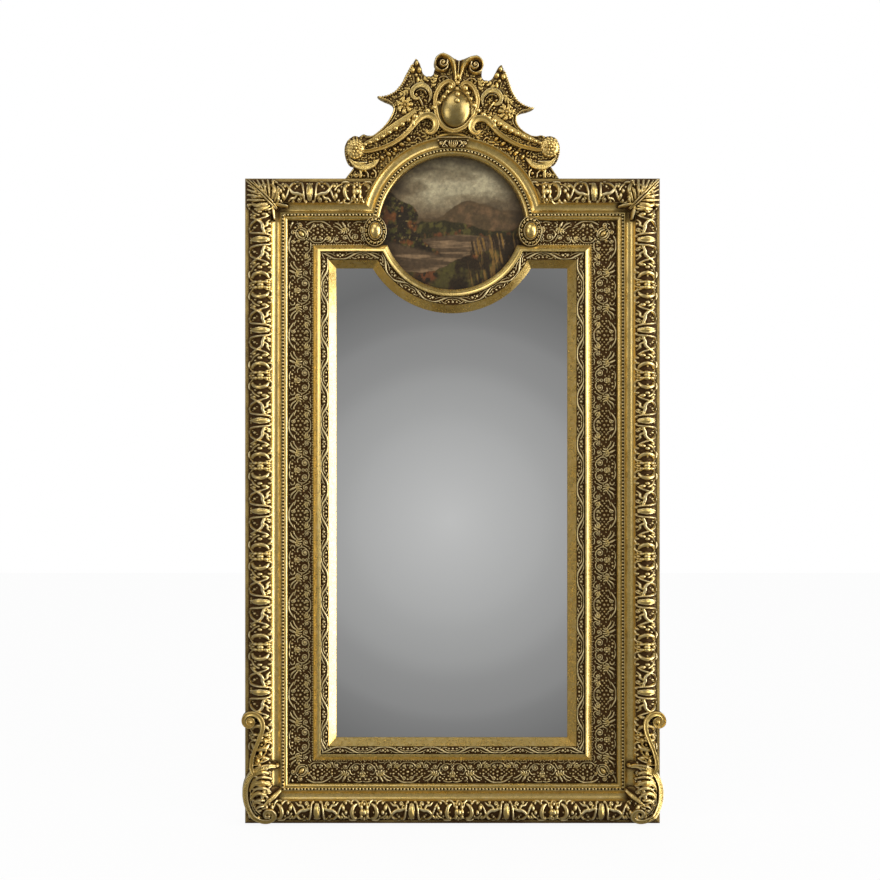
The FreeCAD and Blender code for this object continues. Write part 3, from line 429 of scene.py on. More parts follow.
def smooth_line(points, count=8):
    """A Catmull-Rom curve through points, each a row of any width."""
    p = numbers(points) if isinstance(points, str) else np.asarray(points, float)
    if len(p) < 3:
        share = np.linspace(0, 1, count + 1)[:, None]
        return p[0] * (1 - share) + p[-1] * share
    padded = np.vstack([2 * p[0] - p[1], p, 2 * p[-1] - p[-2]])
    t = np.linspace(0, 1, count, endpoint=False)[:, None]
    parts = []
    for i in range(len(p) - 1):
        a, b, c, d = padded[i : i + 4]
        bend = (2 * a - 5 * b + 4 * c - d) * t**2 + (3 * b - a - 3 * c + d) * t**3
        parts.append(0.5 * (2 * b + (c - a) * t + bend))
    return np.vstack([*parts, p[-1:]])


def spiral(x, z, outer, inner, start, turns):
    """Points of a spiral that winds inward from angle start, in turns; turns below zero go clockwise."""
    share = np.linspace(0, 1, max(8, int(abs(turns) * 18)))
    angle = math.radians(start) + share * turns * TURN
    radius = outer * (inner / outer) ** share
    return np.column_stack([x + radius * np.cos(angle), z + radius * np.sin(angle)])


# ================================================================ relief carving
def profile(kind, s):
    """Height across a stroke, from its middle (s = 0) to its edge (s = 1)."""
    s = np.clip(s, 0, 1)
    round_top = np.sqrt(1 - s * s)
    if kind == "round":
        return round_top
    if kind == "soft":
        return (1 - s * s) ** 1.5
    if kind == "channel":
        rim = np.sqrt(np.maximum(0, 1 - ((s - 0.72) / 0.28) ** 2))
        return np.where(s < 0.72, 0.62 + 0.38 * (s / 0.72) ** 2, rim)
    if kind == "lobe":
        return round_top * (0.72 + 0.28 * np.minimum(1, s / 0.45))
    if kind == "ridge":
        return 0.25 * round_top + 0.75 * (1 - s) ** 0.8
    return np.minimum(1, 3.0 * (1 - s)) ** 0.6


class Relief:
    """A height map over a rectangle, carved stroke by stroke. Heights are in millimetres over its ground."""

    def __init__(self, low, high, step):
        self.step = step
        self.a = np.arange(low[0], high[0] + step / 2, step)
        self.b = np.arange(low[1], high[1] + step / 2, step)
        self.h = np.zeros((len(self.b), len(self.a)))

    def window(self, points, reach):
        """The part of the map within reach of some points, and the places of its points."""
        low, high = points.min(0) - reach, points.max(0) + reach
        i0, i1 = np.searchsorted(self.a, (low[0], high[0]))
        j0, j1 = np.searchsorted(self.b, (low[1], high[1]))
        return (slice(j0, j1), slice(i0, i1)), *np.meshgrid(self.a[i0:i1], self.b[j0:j1])

    def stroke(self, points, widths, heights, kind="round", smooth=6):
        """A tapering stroke. widths and heights run evenly from the path's start to its end."""
        path = smooth_line(points, smooth) if smooth else np.asarray(points, float)
        w, top = spread(widths, len(path)), spread(heights, len(path))
        part, a, b = self.window(path, w.max())
        if not a.size:
            return
        best = np.full(a.shape, NOWHERE)
        for p, q, w0, w1, h0, h1 in zip(path[:-1], path[1:], w[:-1], w[1:], top[:-1], top[1:]):
            d = q - p
            length = max(float(d @ d), 1e-9)
            t = np.clip(((a - p[0]) * d[0] + (b - p[1]) * d[1]) / length, 0, 1)
            wide = np.maximum(w0 + (w1 - w0) * t, 1e-3)
            s = np.hypot(a - p[0] - t * d[0], b - p[1] - t * d[1]) / wide
            lift = (h0 + (h1 - h0) * t) * profile(kind, s)
            np.maximum(best, np.where(s < 1, lift, NOWHERE), out=best)
        self.h[part] = np.maximum(self.h[part], best)

    def ball(self, x, y, radius, height, squeeze=1.0, turn=0.0, kind="round"):
        """A bead or oval swelling; squeeze is its height over its width, before it is turned."""
        part, a, b = self.window(np.array([[x, y]], float), radius * max(1.0, squeeze))
        if not a.size:
            return
        a, b = a - x, b - y
        c, s = math.cos(math.radians(turn)), math.sin(math.radians(turn))
        r = np.hypot((a * c + b * s) / radius, (-a * s + b * c) / (radius * squeeze))
        lift = np.where(r < 1, height * profile(kind, r), NOWHERE)
        self.h[part] = np.maximum(self.h[part], lift)

    def scroll(self, x, y, outer, start, turns, width, height, tail=()):
        """A scroll with an eye; tail is a list of points that lead into it."""
        eye = outer * 0.3
        curl = spiral(x, y, outer, eye, start, turns)
        lead = smooth_line([*tail, curl[0]], 6)[:-1] if len(tail) else np.zeros((0, 2))
        widths = (width * 0.7, width, width, width * 0.75)
        self.stroke(np.vstack([lead, curl]), widths, (height * 0.8, height), "round", 0)
        self.ball(x, y, eye * 1.15, height * 1.08)

    def leaf(self, points, width, height, lobes):
        """A carved leaf: a rib with lobes that fan out on both sides and shrink to its tip."""
        rib = smooth_line(points, 8)
        reach = np.hypot(*np.diff(rib, axis=0).T).sum()
        lobe = reach / (lobes + 1.5) * 0.62
        for i in range(lobes):
            f = 0.06 + 0.80 * i / max(lobes - 1, 1)
            k = int(f * (len(rib) - 1))
            ahead = rib[min(k + 2, len(rib) - 1)] - rib[max(k - 1, 0)]
            ahead = ahead / max(np.hypot(*ahead), 1e-9)
            size = math.sin(math.pi * (0.22 + 0.66 * f)) ** 0.8
            for side in (1, -1):
                out = np.array([-ahead[1], ahead[0]]) * side
                middle = rib[k] + out * width * 0.50 * size + ahead * reach * 0.10
                tip = rib[k] + out * width * 0.98 * size + ahead * reach * 0.24
                heights = (height * 0.80, height * 0.95, height * 0.62)
                self.stroke([rib[k], middle, tip], (lobe * 0.8, lobe, lobe * 0.45), heights, "lobe", 5)
        last = rib[-1] + (rib[-1] - rib[-3])
        widths = (width * 0.20, width * 0.16, width * 0.05)
        self.stroke(np.vstack([rib, last]), widths, (height, height * 1.05, height * 0.8), "ridge", 0)

    def draw(self, drawing, k=1.0):
        """Carves a drawing, a cut on each line; an indented line goes on with the one before. k stretches x.

        ball x,y,radius,height[,squeeze[,turn]] and any number more
        scroll x,y / outer start turns width height / the points that lead into it
        leaf points / width height lobes
        and for a stroke the name of its profile, then points / widths / heights / steps from point to point
        """
        for line in drawing.replace("\n    ", " ").strip().splitlines():
            word, _, rest = line.partition(" ")
            if word == "#":
                continue
            if word == "ball":
                for item in rest.split():
                    x, y, *size = (float(value) for value in item.split(","))
                    self.ball(x * k, y, *size)
                continue
            points, sizes, *more = (numbers(group) for group in rest.split("/"))
            points = points * (k, 1)
            if word == "scroll":
                self.scroll(*points[0], *sizes, tail=more[0] * (k, 1) if more else ())
            elif word == "leaf":
                self.leaf(points, *sizes[:2], int(sizes[2]))
            else:
                self.stroke(points, sizes, more[0], word, *(int(steps[0]) for steps in more[1:]))


class HalfTile(Relief):
    """Half a repeat of a running ornament: each stroke is mirrored about both ends of it."""

    def __init__(self, period, width, step):
        self.period = period
        step = period / 2 / round(period / 2 / step)
        super().__init__((0, 0), (period / 2, width), step)

    def copies(self):
        return ((0, 1), (0, -1), (self.period, -1))

    def stroke(self, points, widths, heights, kind="round", smooth=6):
        points = np.asarray(points, float)
        for shift, sign in self.copies():
            copy = np.column_stack([shift + sign * points[:, 0], points[:, 1]])
            super().stroke(copy, widths, heights, kind, smooth)

    def ball(self, x, y, radius, height, squeeze=1.0, turn=0.0, kind="round"):
        for shift, sign in self.copies():
            super().ball(shift + sign * x, y, radius, height, squeeze, sign * turn, kind)

    def whole(self):
        """The full repeat, from the half and its mirror image."""
        self.h = np.hstack([self.h, self.h[:, -2:0:-1]])
        self.a = np.arange(self.h.shape[1]) * self.step
        return self


class HalfRelief(HalfTile):
    """Half of a symmetrical carving, drawn for x above zero; it may start below zero in y."""

    def __init__(self, width, low, high, step):
        self.period = 1e6
        Relief.__init__(self, (0, low), (width, high), step)

    def whole(self):
        self.h = np.hstack([self.h[:, :0:-1], self.h])
        self.a = np.concatenate([-self.a[:0:-1], self.a])
        return self


def blurred(field, cells):
    """A box blur, run twice."""
    size = 2 * cells + 1
    for _ in range(2):
        for axis in (0, 1):
            pad = [(0, 0), (0, 0)]
            pad[axis] = (cells + 1, cells)
            total = np.cumsum(np.pad(field, pad, mode="edge"), axis=axis)
            take = np.take(total, range(size, total.shape[axis]), axis=axis)
            drop = np.take(total, range(0, total.shape[axis] - size), axis=axis)
            field = (take - drop) / size
    return field


def marks_of(height, step, deep):
    """How high each point stands, and how far it stands over what is round it, both from 0 to 1."""
    local = height - blurred(height, max(1, round(2.4 / step)))
    return np.clip(height / deep, 0, 1).ravel(), np.clip(0.5 + local / deep * 1.5, 0, 1).ravel()


def grid_faces(rows, cols, keep):
    """Corner rows of a grid's cells; keep marks the points, or the cells, that exist."""
    index = np.arange(rows * cols).reshape(rows, cols)
    cells = np.stack([index[:-1, :-1], index[:-1, 1:], index[1:, 1:], index[1:, :-1]], -1).reshape(-1, 4)
    if keep.shape == (rows - 1, cols - 1):
        return cells[keep.ravel()]
    return cells[keep.ravel()[cells].all(1)]


def sheet(name, x, h, z, height, step, deep, keep, back=None, flip=False, **how):
    """A carved surface from grids of x, h and z. Where back is given, walls run down to it and close it behind."""
    faces = grid_faces(*x.shape, keep)
    verts = np.column_stack([x.ravel(), h.ravel(), z.ravel()])
    relief, cavity = marks_of(height, step, deep)
    if back is not None:
        edges = np.concatenate([faces[:, [0, 1]], faces[:, [1, 2]], faces[:, [2, 3]], faces[:, [3, 0]]])
        key = np.sort(edges, 1)
        _, first, uses = np.unique(key[:, 0] * len(verts) + key[:, 1], return_index=True, return_counts=True)
        rim = edges[first[uses == 1]]
        behind = verts.copy()
        behind[:, 1] = back
        n = len(verts)
        walls = np.column_stack([rim[:, 1] + n, rim[:, 0] + n, rim[:, 0] + 2 * n, rim[:, 1] + 2 * n])
        faces = np.vstack([faces, walls, faces[:, ::-1] + 3 * n])
        verts = np.vstack([verts, verts, behind, behind])
        # Walls and backs take a low relief mark, which the gilt darkens: patina and painted shade.
        relief = np.concatenate([relief, relief, np.full(2 * n, 0.3)])
        cavity = np.concatenate([cavity, np.full(3 * n, 0.5)])
    if flip:
        faces = faces[:, ::-1]
    used = np.unique(faces)
    renumber = np.full(len(verts), -1)
    renumber[used] = np.arange(len(used))
    return link(name, verts[used], renumber[faces], relief[used], cavity[used], **how)


def tube(n, k):
    """Faces between n rings of k points each, and the two ends: each a ring's row and its point order."""
    i, j = np.meshgrid(np.arange(n - 1), np.arange(k), indexing="ij")
    a, b = (i * k + j), (i * k + (j + 1) % k)
    return np.stack([a, b, b + k, a + k], -1), ((0, 1), (n - 1, -1))


def fan(ring, middle):
    """Triangles from a ring of points to its middle."""
    middle = np.full(len(ring), middle)
    return np.column_stack([np.roll(ring, -1), ring, middle, middle])


def swept(points, heights, widths, thick, section):
    """A ribbon swept along (x, z) points at some heights; section is drawn in (across, forward)."""
    p = np.asarray(points, float)
    n, k = len(p), len(section)
    h, w, t = (spread(values, n) for values in (heights, widths, thick))
    ahead = np.gradient(p, axis=0)
    ahead /= np.maximum(np.hypot(ahead[:, 0], ahead[:, 1]), 1e-9)[:, None]
    across = np.column_stack([-ahead[:, 1], ahead[:, 0]])
    lines = []
    for s, f in section:
        lines.append(np.column_stack([p[:, 0] + across[:, 0] * s * w, h + f * t, p[:, 1] + across[:, 1] * s * w]))
    verts = np.stack(lines, 1).reshape(-1, 3)
    # The relief mark falls towards the back of the section and rises to its top, so the gilt paints the back darker as
    # patina and painted shade, and the top a little lighter as painted highlight.
    relief = np.tile([0.35 + 0.5 * f for _, f in section], n)
    walls, rims = tube(n, k)
    faces, ends = [walls.transpose(1, 0, 2).reshape(-1, 4)], []
    for row, order in rims:
        faces.append(fan((np.arange(k) + row * k)[::order], len(verts) + len(ends)))
        ends.append(verts[row * k : row * k + k].mean(0))
    return np.vstack([verts, ends]), np.vstack(faces), np.concatenate([relief, [0.5, 0.5]])


def mirrored(section):
    return [(-s, f) for s, f in section[::-1]]


def ball_mesh(x, h, z, radius, tall=None, deep=None, sides=14, rings=8, relief=0.75):
    """One bead or oval."""
    tall, deep = tall or radius, deep or radius
    polar = np.linspace(0, math.pi, rings + 1)[1:-1]
    turn = np.linspace(0, TURN, sides, endpoint=False)
    p, t = (grid.ravel() for grid in np.meshgrid(polar, turn, indexing="ij"))
    grid = np.column_stack([np.sin(p) * np.cos(t) * radius + x, np.cos(p) * deep + h, np.sin(p) * np.sin(t) * tall + z])
    verts = np.vstack([grid, [[x, h + deep, z], [x, h - deep, z]]])
    index = np.arange(len(grid)).reshape(rings - 1, sides)
    after = np.roll(index, -1, 1)
    body = np.stack([index[:-1], index[1:], after[1:], after[:-1]], -1).reshape(-1, 4)
    top, low = np.full(sides, len(grid)), np.full(sides, len(grid) + 1)
    caps = [np.column_stack([index[0], after[0], top, top]), np.column_stack([after[-1], index[-1], low, low])]
    return verts, np.vstack([body, *caps]), np.full(len(verts), relief)


def gather(parts):
    """Joins (verts, faces, relief) parts into one."""
    starts = np.cumsum([0] + [len(verts) for verts, _, _ in parts])
    faces = [faces + start for (_, faces, _), start in zip(parts, starts)]
    return np.vstack([part[0] for part in parts]), np.vstack(faces), np.concatenate([part[2] for part in parts])


def link_parts(name, parts, **how):
    verts, faces, relief = gather(parts)
    # The cavity mark follows relief, which the gilt turns into painted highlight high up and patina and painted shade
    # low down.
    return link(name, verts, faces, relief, 0.42 + 0.30 * relief, **how)


# ================================================================ bands of ornament
def rail_place(side, s, u):
    """Where a point lies: s along a side, u in from the outer edge."""
    if side == "left":
        return u - HALF_WIDTH, s
    if side == "right":
        return HALF_WIDTH - u, s
    if side == "bottom":
        return s, u * BOTTOM_SHARE
    return s, below_top(u)


def below_top(u):
    """Height of a line of the top rail that lies u in from the outer edge."""
    return HEIGHT - u * TOP_SHARE


def rail_ends(side, u):
    """How far a side runs between its mitres, at a distance in from the outer edge."""
    if side in ("left", "right"):
        return u * BOTTOM_SHARE, below_top(u)
    return u - HALF_WIDTH, HALF_WIDTH - u


def outside(height, radius):
    """Tells what lies further than radius from a centre on the middle line."""
    return lambda x, z: np.hypot(x, z - height) > radius


def away_from_knots(x, z):
    across = np.abs(x) - CORNER_X
    return np.minimum(np.hypot(across, z - CORNER_LOW), np.hypot(across, z - CORNER_TOP)) > KNOT_CLEAR


def above_mitre(x, z):
    """What lies above the line on which the leaf band's top run meets its arc."""
    return (np.abs(x) - 190.7) * (1387.9 - 1334.3) + (z - 1334.3) * (190.7 - 155.8) > 0


def band(name, side, tile, base, u0, first, stop, lift, deep, **how):
    """Lays a tile along a side. base gives (u, h) and the way out of the ground for each row of the tile."""
    u, h, du, dh = base
    low, high = rail_ends(side, u0)
    s = np.arange(low, high + tile.step / 2, tile.step)
    period = tile.a[-1] - tile.a[0] + tile.step
    column = np.round(((s - first) % period) / tile.step).astype(int) % len(tile.a)
    height = tile.h[:, column]
    U = (u + 0 * u)[:, None] + du[:, None] * (height + lift)
    H = h[:, None] + dh[:, None] * (height + lift)
    start, end = (v[:, None] for v in rail_ends(side, u))
    S = np.clip(np.broadcast_to(s, height.shape), start, end)
    inside = (s > start - tile.step) & (s < end + tile.step)
    X, Z = rail_place(side, S, U)
    inside &= stop(X, Z)
    return sheet(name, X, H, Z, height, tile.step, deep, inside, flip=side in ("left", "top"), **how)


def cover(name, tiles, base, u0, firsts, clear, stop=lambda x, z: True, **how):
    """Lays ornament along all four sides, in the order of RUNS; firsts is where a repeat starts on each."""
    pieces = []
    for side, first, tile in zip(RUNS, firsts, tiles):
        here = stop if side != "top" else lambda x, z: clear(x, z) & stop(x, z)
        pieces.append(band(f"{name}_{side}", side, tile, base(len(tile.b)), u0, first, here, **how))
    return pieces


SCROLL_DRAWING = """
# the shell, with a bead outside it and two inside
ridge 0,17 0,45 / 1 2 1 / 11.3
ball 0,9,4,7 5.5,6.5,2.6,5 8,47.5,3.2,8
# the looped strap that leaves the shell and runs back inward
round 9,50 12,43 14,32 16,20 20,9 27,4.5 34,7 39,14 45,24 52,37 58,44 / 2 2.8 3 3 2.8 2.6 2 / 6 9.5 9 8 7.5 9
    6.5
lobe 13,37 20,36 28,34 35,34 43,30 50,22 56,14 / 2.6 2.8 3 2.4 / 8.5 9.5 10 7.5
lobe 28,34 34,41 42,42 48,47 / 2.6 2.4 1.4 / 9 7.5 5
scroll 24,44 / 5.4 250 -1.2 1.5 7 / 17,36 17,42
scroll 38.5,47.5 / 3.6 90 1.1 1.3 6
ball 29,20,3.2,5.5 24,15,2,4 33,25,1.8,4
# knots and buds between the loop and the crescents
round 61,48 67,50 74,49 80,44 / 1.2 1.8 1.6 / 4.5 6.5 6
lobe 58,28 64,20 70,15 74,9 / 2.2 2 1.2 / 7 6 4
ball 57,20,3.4,7.5,1.5,35 62,9,3.4,7,1.3,-30 55,7,2.6,5.5 60,38,4.6,8.5,1.3,20 66,30,4.4,8 66,46,3.4,7
    73,22,2.6,5.5
# the crescent with its outer curl and inner hook
round 72,12 75,4.5 82,2.6 90,5 95,12 / 1.6 2.6 2.8 2.2 / 5 7 7.5 6
scroll 88,12 / 4 200 -1.1 1.4 6
lobe 91,16 84,20 80,27 80,34 84,40 91,44 / 1.6 4.4 5.4 4.4 1.8 / 6.5 10 11 10 7
round 76,46 82,50 89,50.5 95,46 97,40 / 1.4 2.2 2.4 1.6 / 5.5 7.5 7.5 6
ball 79,45,3.2,8 86.5,30,2.2,4.5
# the leafy knot at the middle
lobe 96,13 100,18 104,13 108,8 / 1.8 2.6 2 / 6 8 6.5
round 97,47 102,44 104,49 108,50 / 1.6 2.2 1.6 / 5.5 7 5
ball 101.5,23,4.4,9.5,1.2 101.5,31,5.4,9.5,1.2 101.5,39,4.4,9.5,1.2 108,31,5.6,11 108,18,3.4,7.5 108,44,3.8,8.5
    108,4.5,3.6,6 102,4.5,2.4,4.5
"""


def scroll_tile(period):
    """Shell, looped straps and facing crescents, as they run along the outer frame."""
    k = period / 216.0
    tile = HalfTile(period, 52.0, 1.15)
    tile.ball(0, 31, 7.4 * k, 10.5, squeeze=2.0)
    tile.draw(SCROLL_DRAWING, k)
    for x in (3.6, 6.4):
        tile.stroke([(x * 0.5 * k, 44), (x * k, 31), (x * 0.5 * k, 19)], 1.2, 9.6)
    return tile.whole()


FILIGREE_DRAWING = """
# the scroll pair on the inner side, a wavy stem between
scroll 17,40 / 9.6 100 -1.6 1.5 5.6 / 2,51 6,48 11,50
round 26,44 31,36 30,28 25,22 18,23 / 1.4 1.7 1 / 5 5.5 3.5
round 0,48 3,44 0,40 3,36 0,32 / 1.3 / 4.6
leaf 0,29 0,21 0,15 / 8 4.4 4
ball 17,40,2.9,6.2
# the outer side: a column of beads and leaves
round 2,4 8,2.5 15,3.5 21,6 / 1.25 1.5 1.25 / 5
round 30,5 35,9 33,15 28,15 / 1.5 1.9 1 / 5
lobe 48,4 44,12 40,21 / 2 3.4 1.2 / 4 6 4
leaf 34,20 42,25 52,26 / 8 4.8 4
scroll 42,42 / 6.6 180 1.4 1.3 5 / 31,50 33,45
round 38,54 45,52 52,54 / 1.2 / 4
ball 7,10,3,4.8 15,9,3.2,4.8 24,11,2.4,4.8 5,24,2.4,4.8 11,27,2.2,4.8 10,18,2.2,4.8 50,37,2.4,5 34,32,2.2,4.6
    28,51,2.4,4.6
# strokes that lean to the bead cluster
lobe 50,17 57,9 67,5 / 1.8 2.4 1 / 4.6 5.6 3.6
lobe 54,21 62,15 70,13 / 1.3 1.8 .9 / 5
scroll 64,45 / 6.2 0 -1.3 1.3 5.2 / 52,48 57,53 65,54
leaf 73,52 81,46 86,40 / 7 4.8 4
round 72,19 78,16 85,14 / 1 1.5 .9 / 5
ball 57,30,2.5,5 62,36,2.3,4.8 74,24,3,5.4 74,33,3,5.4 80,29,2.4,5.4 86,24,2.5,5.4 86,34,2.5,5.4 67,25,2.2,5.4
# long S-leaves that cradle the cluster
lobe 108,2 100,1.8 92,4 84,9 78,13 / 1.2 2 2.2 1.4 / 4 5.4 5.6 4
round 108,54 99,53 92,48 89,43 / 1.2 1.8 1.2 / 5
scroll 98,13 / 5.4 270 1.3 1.3 5 / 86,19 91,20
scroll 99,44 / 5 90 -1.3 1.2 4.8
ball 98,24,3,5.4 98,34,3,5.4 108,29,3.4,5.4 103,39,2.4,5.4 108,20,2.6,5.4 108,46,2.6,5.4 108,10,2.8,5.4
    92,29,2.2,5.4 20,16,1.5,3.4 28,24,1.5,3.4 37,36,1.5,3.4 46,31,1.5,3.4 58,40,1.5,3.4 69,9,1.5,3.4
    91,54,1.5,3.4 80,3,1.5,3.4 59,3,1.5,3.4 36,3,1.5,3.4 25,31,1.5,3.4 70,40,1.5,3.4 5,55,1.5,3.4 20,54,1.5,3.4
    76,40,1.5,3.4 92,38,1.5,3.4
"""


def filigree_tile(period):
    """Paired C-scrolls, beads and curling leaves, close set, as they fill the panel."""
    tile = HalfTile(period, 57.0, 1.0)
    tile.draw(FILIGREE_DRAWING, period / 216.0)
    return tile.whole()


LEAF_DRAWING = """
lobe 0,3 8,2.2 16,4 26,9.5 37,15.6 46,17.4 54,17.8 / .9 1.2 2 2.6 2.1 1.3 1.1 / 3 3.6 4.6 5.4 4.8 3.8 3.4
round 17,3 26,2.6 35,5.5 42,10 / .9 1.5 1.2 .8 / 3 4 3.4
round 15,17 20,16.6 26,13.5 / .9 1.4 .8 / 3.6
round 1,8 7,7 13,9 18,13 / .8 1.2 .8 / 3.4
scroll 48,8.6 / 3.6 200 1.2 1 3.8
ball 0,13.4,2.9,4.6 9.5,13.4,2.6,4.6 -9.5,13.4,2.6,4.6 54,5,2.3,4.2 54,12.2,2,3.8 39,3,1.5,3.2 30,16.6,1.5,3.2
"""


def leaf_tile(period):
    """A running stem that throws a long leaf from edge to edge, with three berries in each hollow."""
    tile = HalfTile(period, 19.4, 0.9)
    tile.draw(LEAF_DRAWING, period / 108.0)
    return tile.whole()


def arc_points(p, q, r, count):
    """Points and outward directions of the circle arc through three (u, h) points, even along it."""
    ax, ay, bx, by, cx, cy = *p, *q, *r
    d = 2 * (ax * (by - cy) + bx * (cy - ay) + cx * (ay - by))
    a2, b2, c2 = ax**2 + ay**2, bx**2 + by**2, cx**2 + cy**2
    ux = (a2 * (by - cy) + b2 * (cy - ay) + c2 * (ay - by)) / d
    uy = (a2 * (cx - bx) + b2 * (ax - cx) + c2 * (bx - ax)) / d
    radius = math.hypot(ax - ux, ay - uy)
    angle = np.linspace(math.atan2(ay - uy, ax - ux), math.atan2(cy - uy, cx - ux), count)
    return ux + radius * np.cos(angle), uy + radius * np.sin(angle), np.cos(angle), np.sin(angle)


def torus_base(rows):
    """The outer frame's ground: the flange's inner half, then the torus."""
    u, h, du, dh = arc_points((20, 60), (40.5, 80), (61, 70), 60)
    u = np.concatenate([[9.5, 15], u, [62.8]])
    h = np.concatenate([[53.9, 57.2], h, [69.0]])
    du = np.concatenate([[-0.45, -0.45], du, [0.55]])
    dh = np.concatenate([[0.89, 0.89], dh, [0.83]])
    length = lengths(np.column_stack([u, h]))
    at = np.linspace(0, length[-1], rows)
    return tuple(np.interp(at, length, v) for v in (u, h, du, dh))


def flat_base(u0, u1, h):
    return lambda rows: (np.linspace(u0, u1, rows), np.full(rows, float(h)), np.zeros(rows), np.ones(rows))


def make_bands():
    stile, rail = scroll_tile(215.5), scroll_tile(225.6)
    clear = outside(ARCH_CENTRE, ARCH_CLEAR)
    firsts = (1182.0, 1182.0, -99.6, -343.0)
    pieces = cover("scrollwork", (stile, stile, rail, rail), torus_base, 0, firsts, clear, lift=0.5, deep=10.0)
    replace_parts(pieces[0], "scroll_bands")

    lace, clear = filigree_tile(216.0), outside(PICTURE_CENTRE, PICTURE_CLEAR)
    base, firsts = flat_base(LACE_IN, LACE_OUT, 46.0), (1063.0, 1063.0, 0.0, 0.0)
    pieces = cover(
        "filigree", [lace] * 4, base, LACE_IN, firsts, clear, away_from_knots, lift=0.4, deep=5.2, finish=LACE_GOLD
    )
    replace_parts(pieces[0], "filigree_bands")

    vine = leaf_tile(108.0)
    base, firsts = flat_base(VINE_IN, VINE_OUT, 54.0), (1180.0, 1180.0, 0.0, 0.0)
    pieces = cover("vine", [vine] * 4, base, VINE_IN, firsts, above_mitre, lift=0.3, deep=4.6)
    arc_vine(vine)
    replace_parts(pieces[0], "leaf_band")


def arc_vine(tile):
    """The leaf band where it swings round under the picture."""
    u = np.linspace(VINE_IN, VINE_OUT, len(tile.b))
    radius = (u + ARC_MORE)[:, None]
    end = np.arccos((ARC_CENTRE - below_top(u)[:, None]) / radius)
    count = int(2 * end.max() * VINE_MIDDLE / tile.step)
    s = np.linspace(-end.max(), end.max(), count)
    column = np.round((s * VINE_MIDDLE % tile.period) / tile.step).astype(int) % len(tile.a)
    height = tile.h[:, column]
    angle = np.clip(np.broadcast_to(s, height.shape), -end, end)
    inside = np.abs(s) < end + (s[1] - s[0])
    x, z = radius * np.sin(angle), ARC_CENTRE - radius * np.cos(angle)
    sheet("vine_arc", x, 54.3 + height, z, height, tile.step, 4.6, inside, flip=True)


def strip_parts(outline, gap, arch=None):
    """A moulding strip round the frame: a closed (u, h) outline run along each side, mitred, and round an arc.
    gap gives half the width that the arc takes out of the top."""
    u, h = numbers(outline).T
    k = len(u)
    parts = []

    def run(x, z):
        n = x.shape[0]
        verts = np.column_stack([x.ravel(), np.broadcast_to(h, x.shape).ravel(), z.ravel()])
        walls, rims = tube(n, k)
        faces = [walls.reshape(-1, 4)]
        for row, order in rims:
            rim = verts[row * k : row * k + k]
            faces.append(fan((np.arange(k) + len(verts))[::order], len(verts) + k))
            verts = np.vstack([verts, rim, rim.mean(0)])
        parts.append((verts, np.vstack(faces), np.full(len(verts), 0.6)))

    for side in RUNS:
        low, high = rail_ends(side, u)
        for start, end in ((low, high),) if side != "top" else ((low, -gap(u)), (gap(u), high)):
            s = start + (end - start) * np.linspace(0, 1, 3)[:, None]
            if side in ("left", "top"):
                s = s[::-1]
            run(*rail_place(side, s, np.broadcast_to(u, s.shape)))
    if arch is not None:
        run(*arch(u))
    return parts


def half_gap(radius, height):
    """Half the width of a circle at some height over its centre."""
    return np.sqrt(radius**2 - height**2)


def over_the_arch(u):
    """Where a strip runs over the picture."""
    radius = ARCH_REACH - u
    half = np.arccos((below_top(u) - ARCH_CENTRE) / radius)
    turn = half * np.linspace(-1, 1, 61)[:, None]
    return radius * np.sin(turn), ARCH_CENTRE + radius * np.cos(turn)


def under_the_picture(u):
    radius = u + ARC_MORE
    half = np.arccos((ARC_CENTRE - below_top(u)) / radius)
    turn = half * np.linspace(1, -1, 61)[:, None]
    return radius * np.sin(turn), ARC_CENTRE - radius * np.cos(turn)


LIP = "94.4,54 94.2,57.4 95.2,58.6 97,59.2 99,58.6 101,56.8 102.6,54 103.2,51 103.2,46.5"
STEPS = """163.6,45 163.6,51.4 164.4,52.6 171.4,57.5 172.4,58.2 172.8,59.6 173.6,60.1 179.6,63.4 180.5,63.2
    181,62.2 181,58.6 173.4,58.2"""
EDGE = "0.3,47 0.3,53.2 1.2,54.4 5,55.2 8.6,55.6 9.4,54.8 9.4,52.8 5,50.2"


def make_strips():
    """The lips that edge the filigree: a rounded one beside the bead string, and a double step on the liner. A flat
    band runs along the outer edge."""
    lip = strip_parts(LIP, lambda u: half_gap(ARCH_REACH - u, below_top(u) - ARCH_CENTRE), over_the_arch)
    link_parts("panel_lip", lip, finish=GOLD)
    verts, faces, _ = gather(strip_parts(EDGE, lambda u: half_gap(EDGE_CLEAR, below_top(u) - ARCH_CENTRE)))
    flat = np.ones(len(verts))
    # Low relief and cavity marks make the gilt darken the whole band as in a hollow: patina and painted shade.
    link("edge_band", verts, faces, 0.24 * flat, 0.46 * flat, smooth=False)
    steps = strip_parts(STEPS, lambda u: half_gap(u + ARC_MORE, ARC_CENTRE - below_top(u)), under_the_picture)
    link_parts("liner_lip", steps, finish=GOLD)


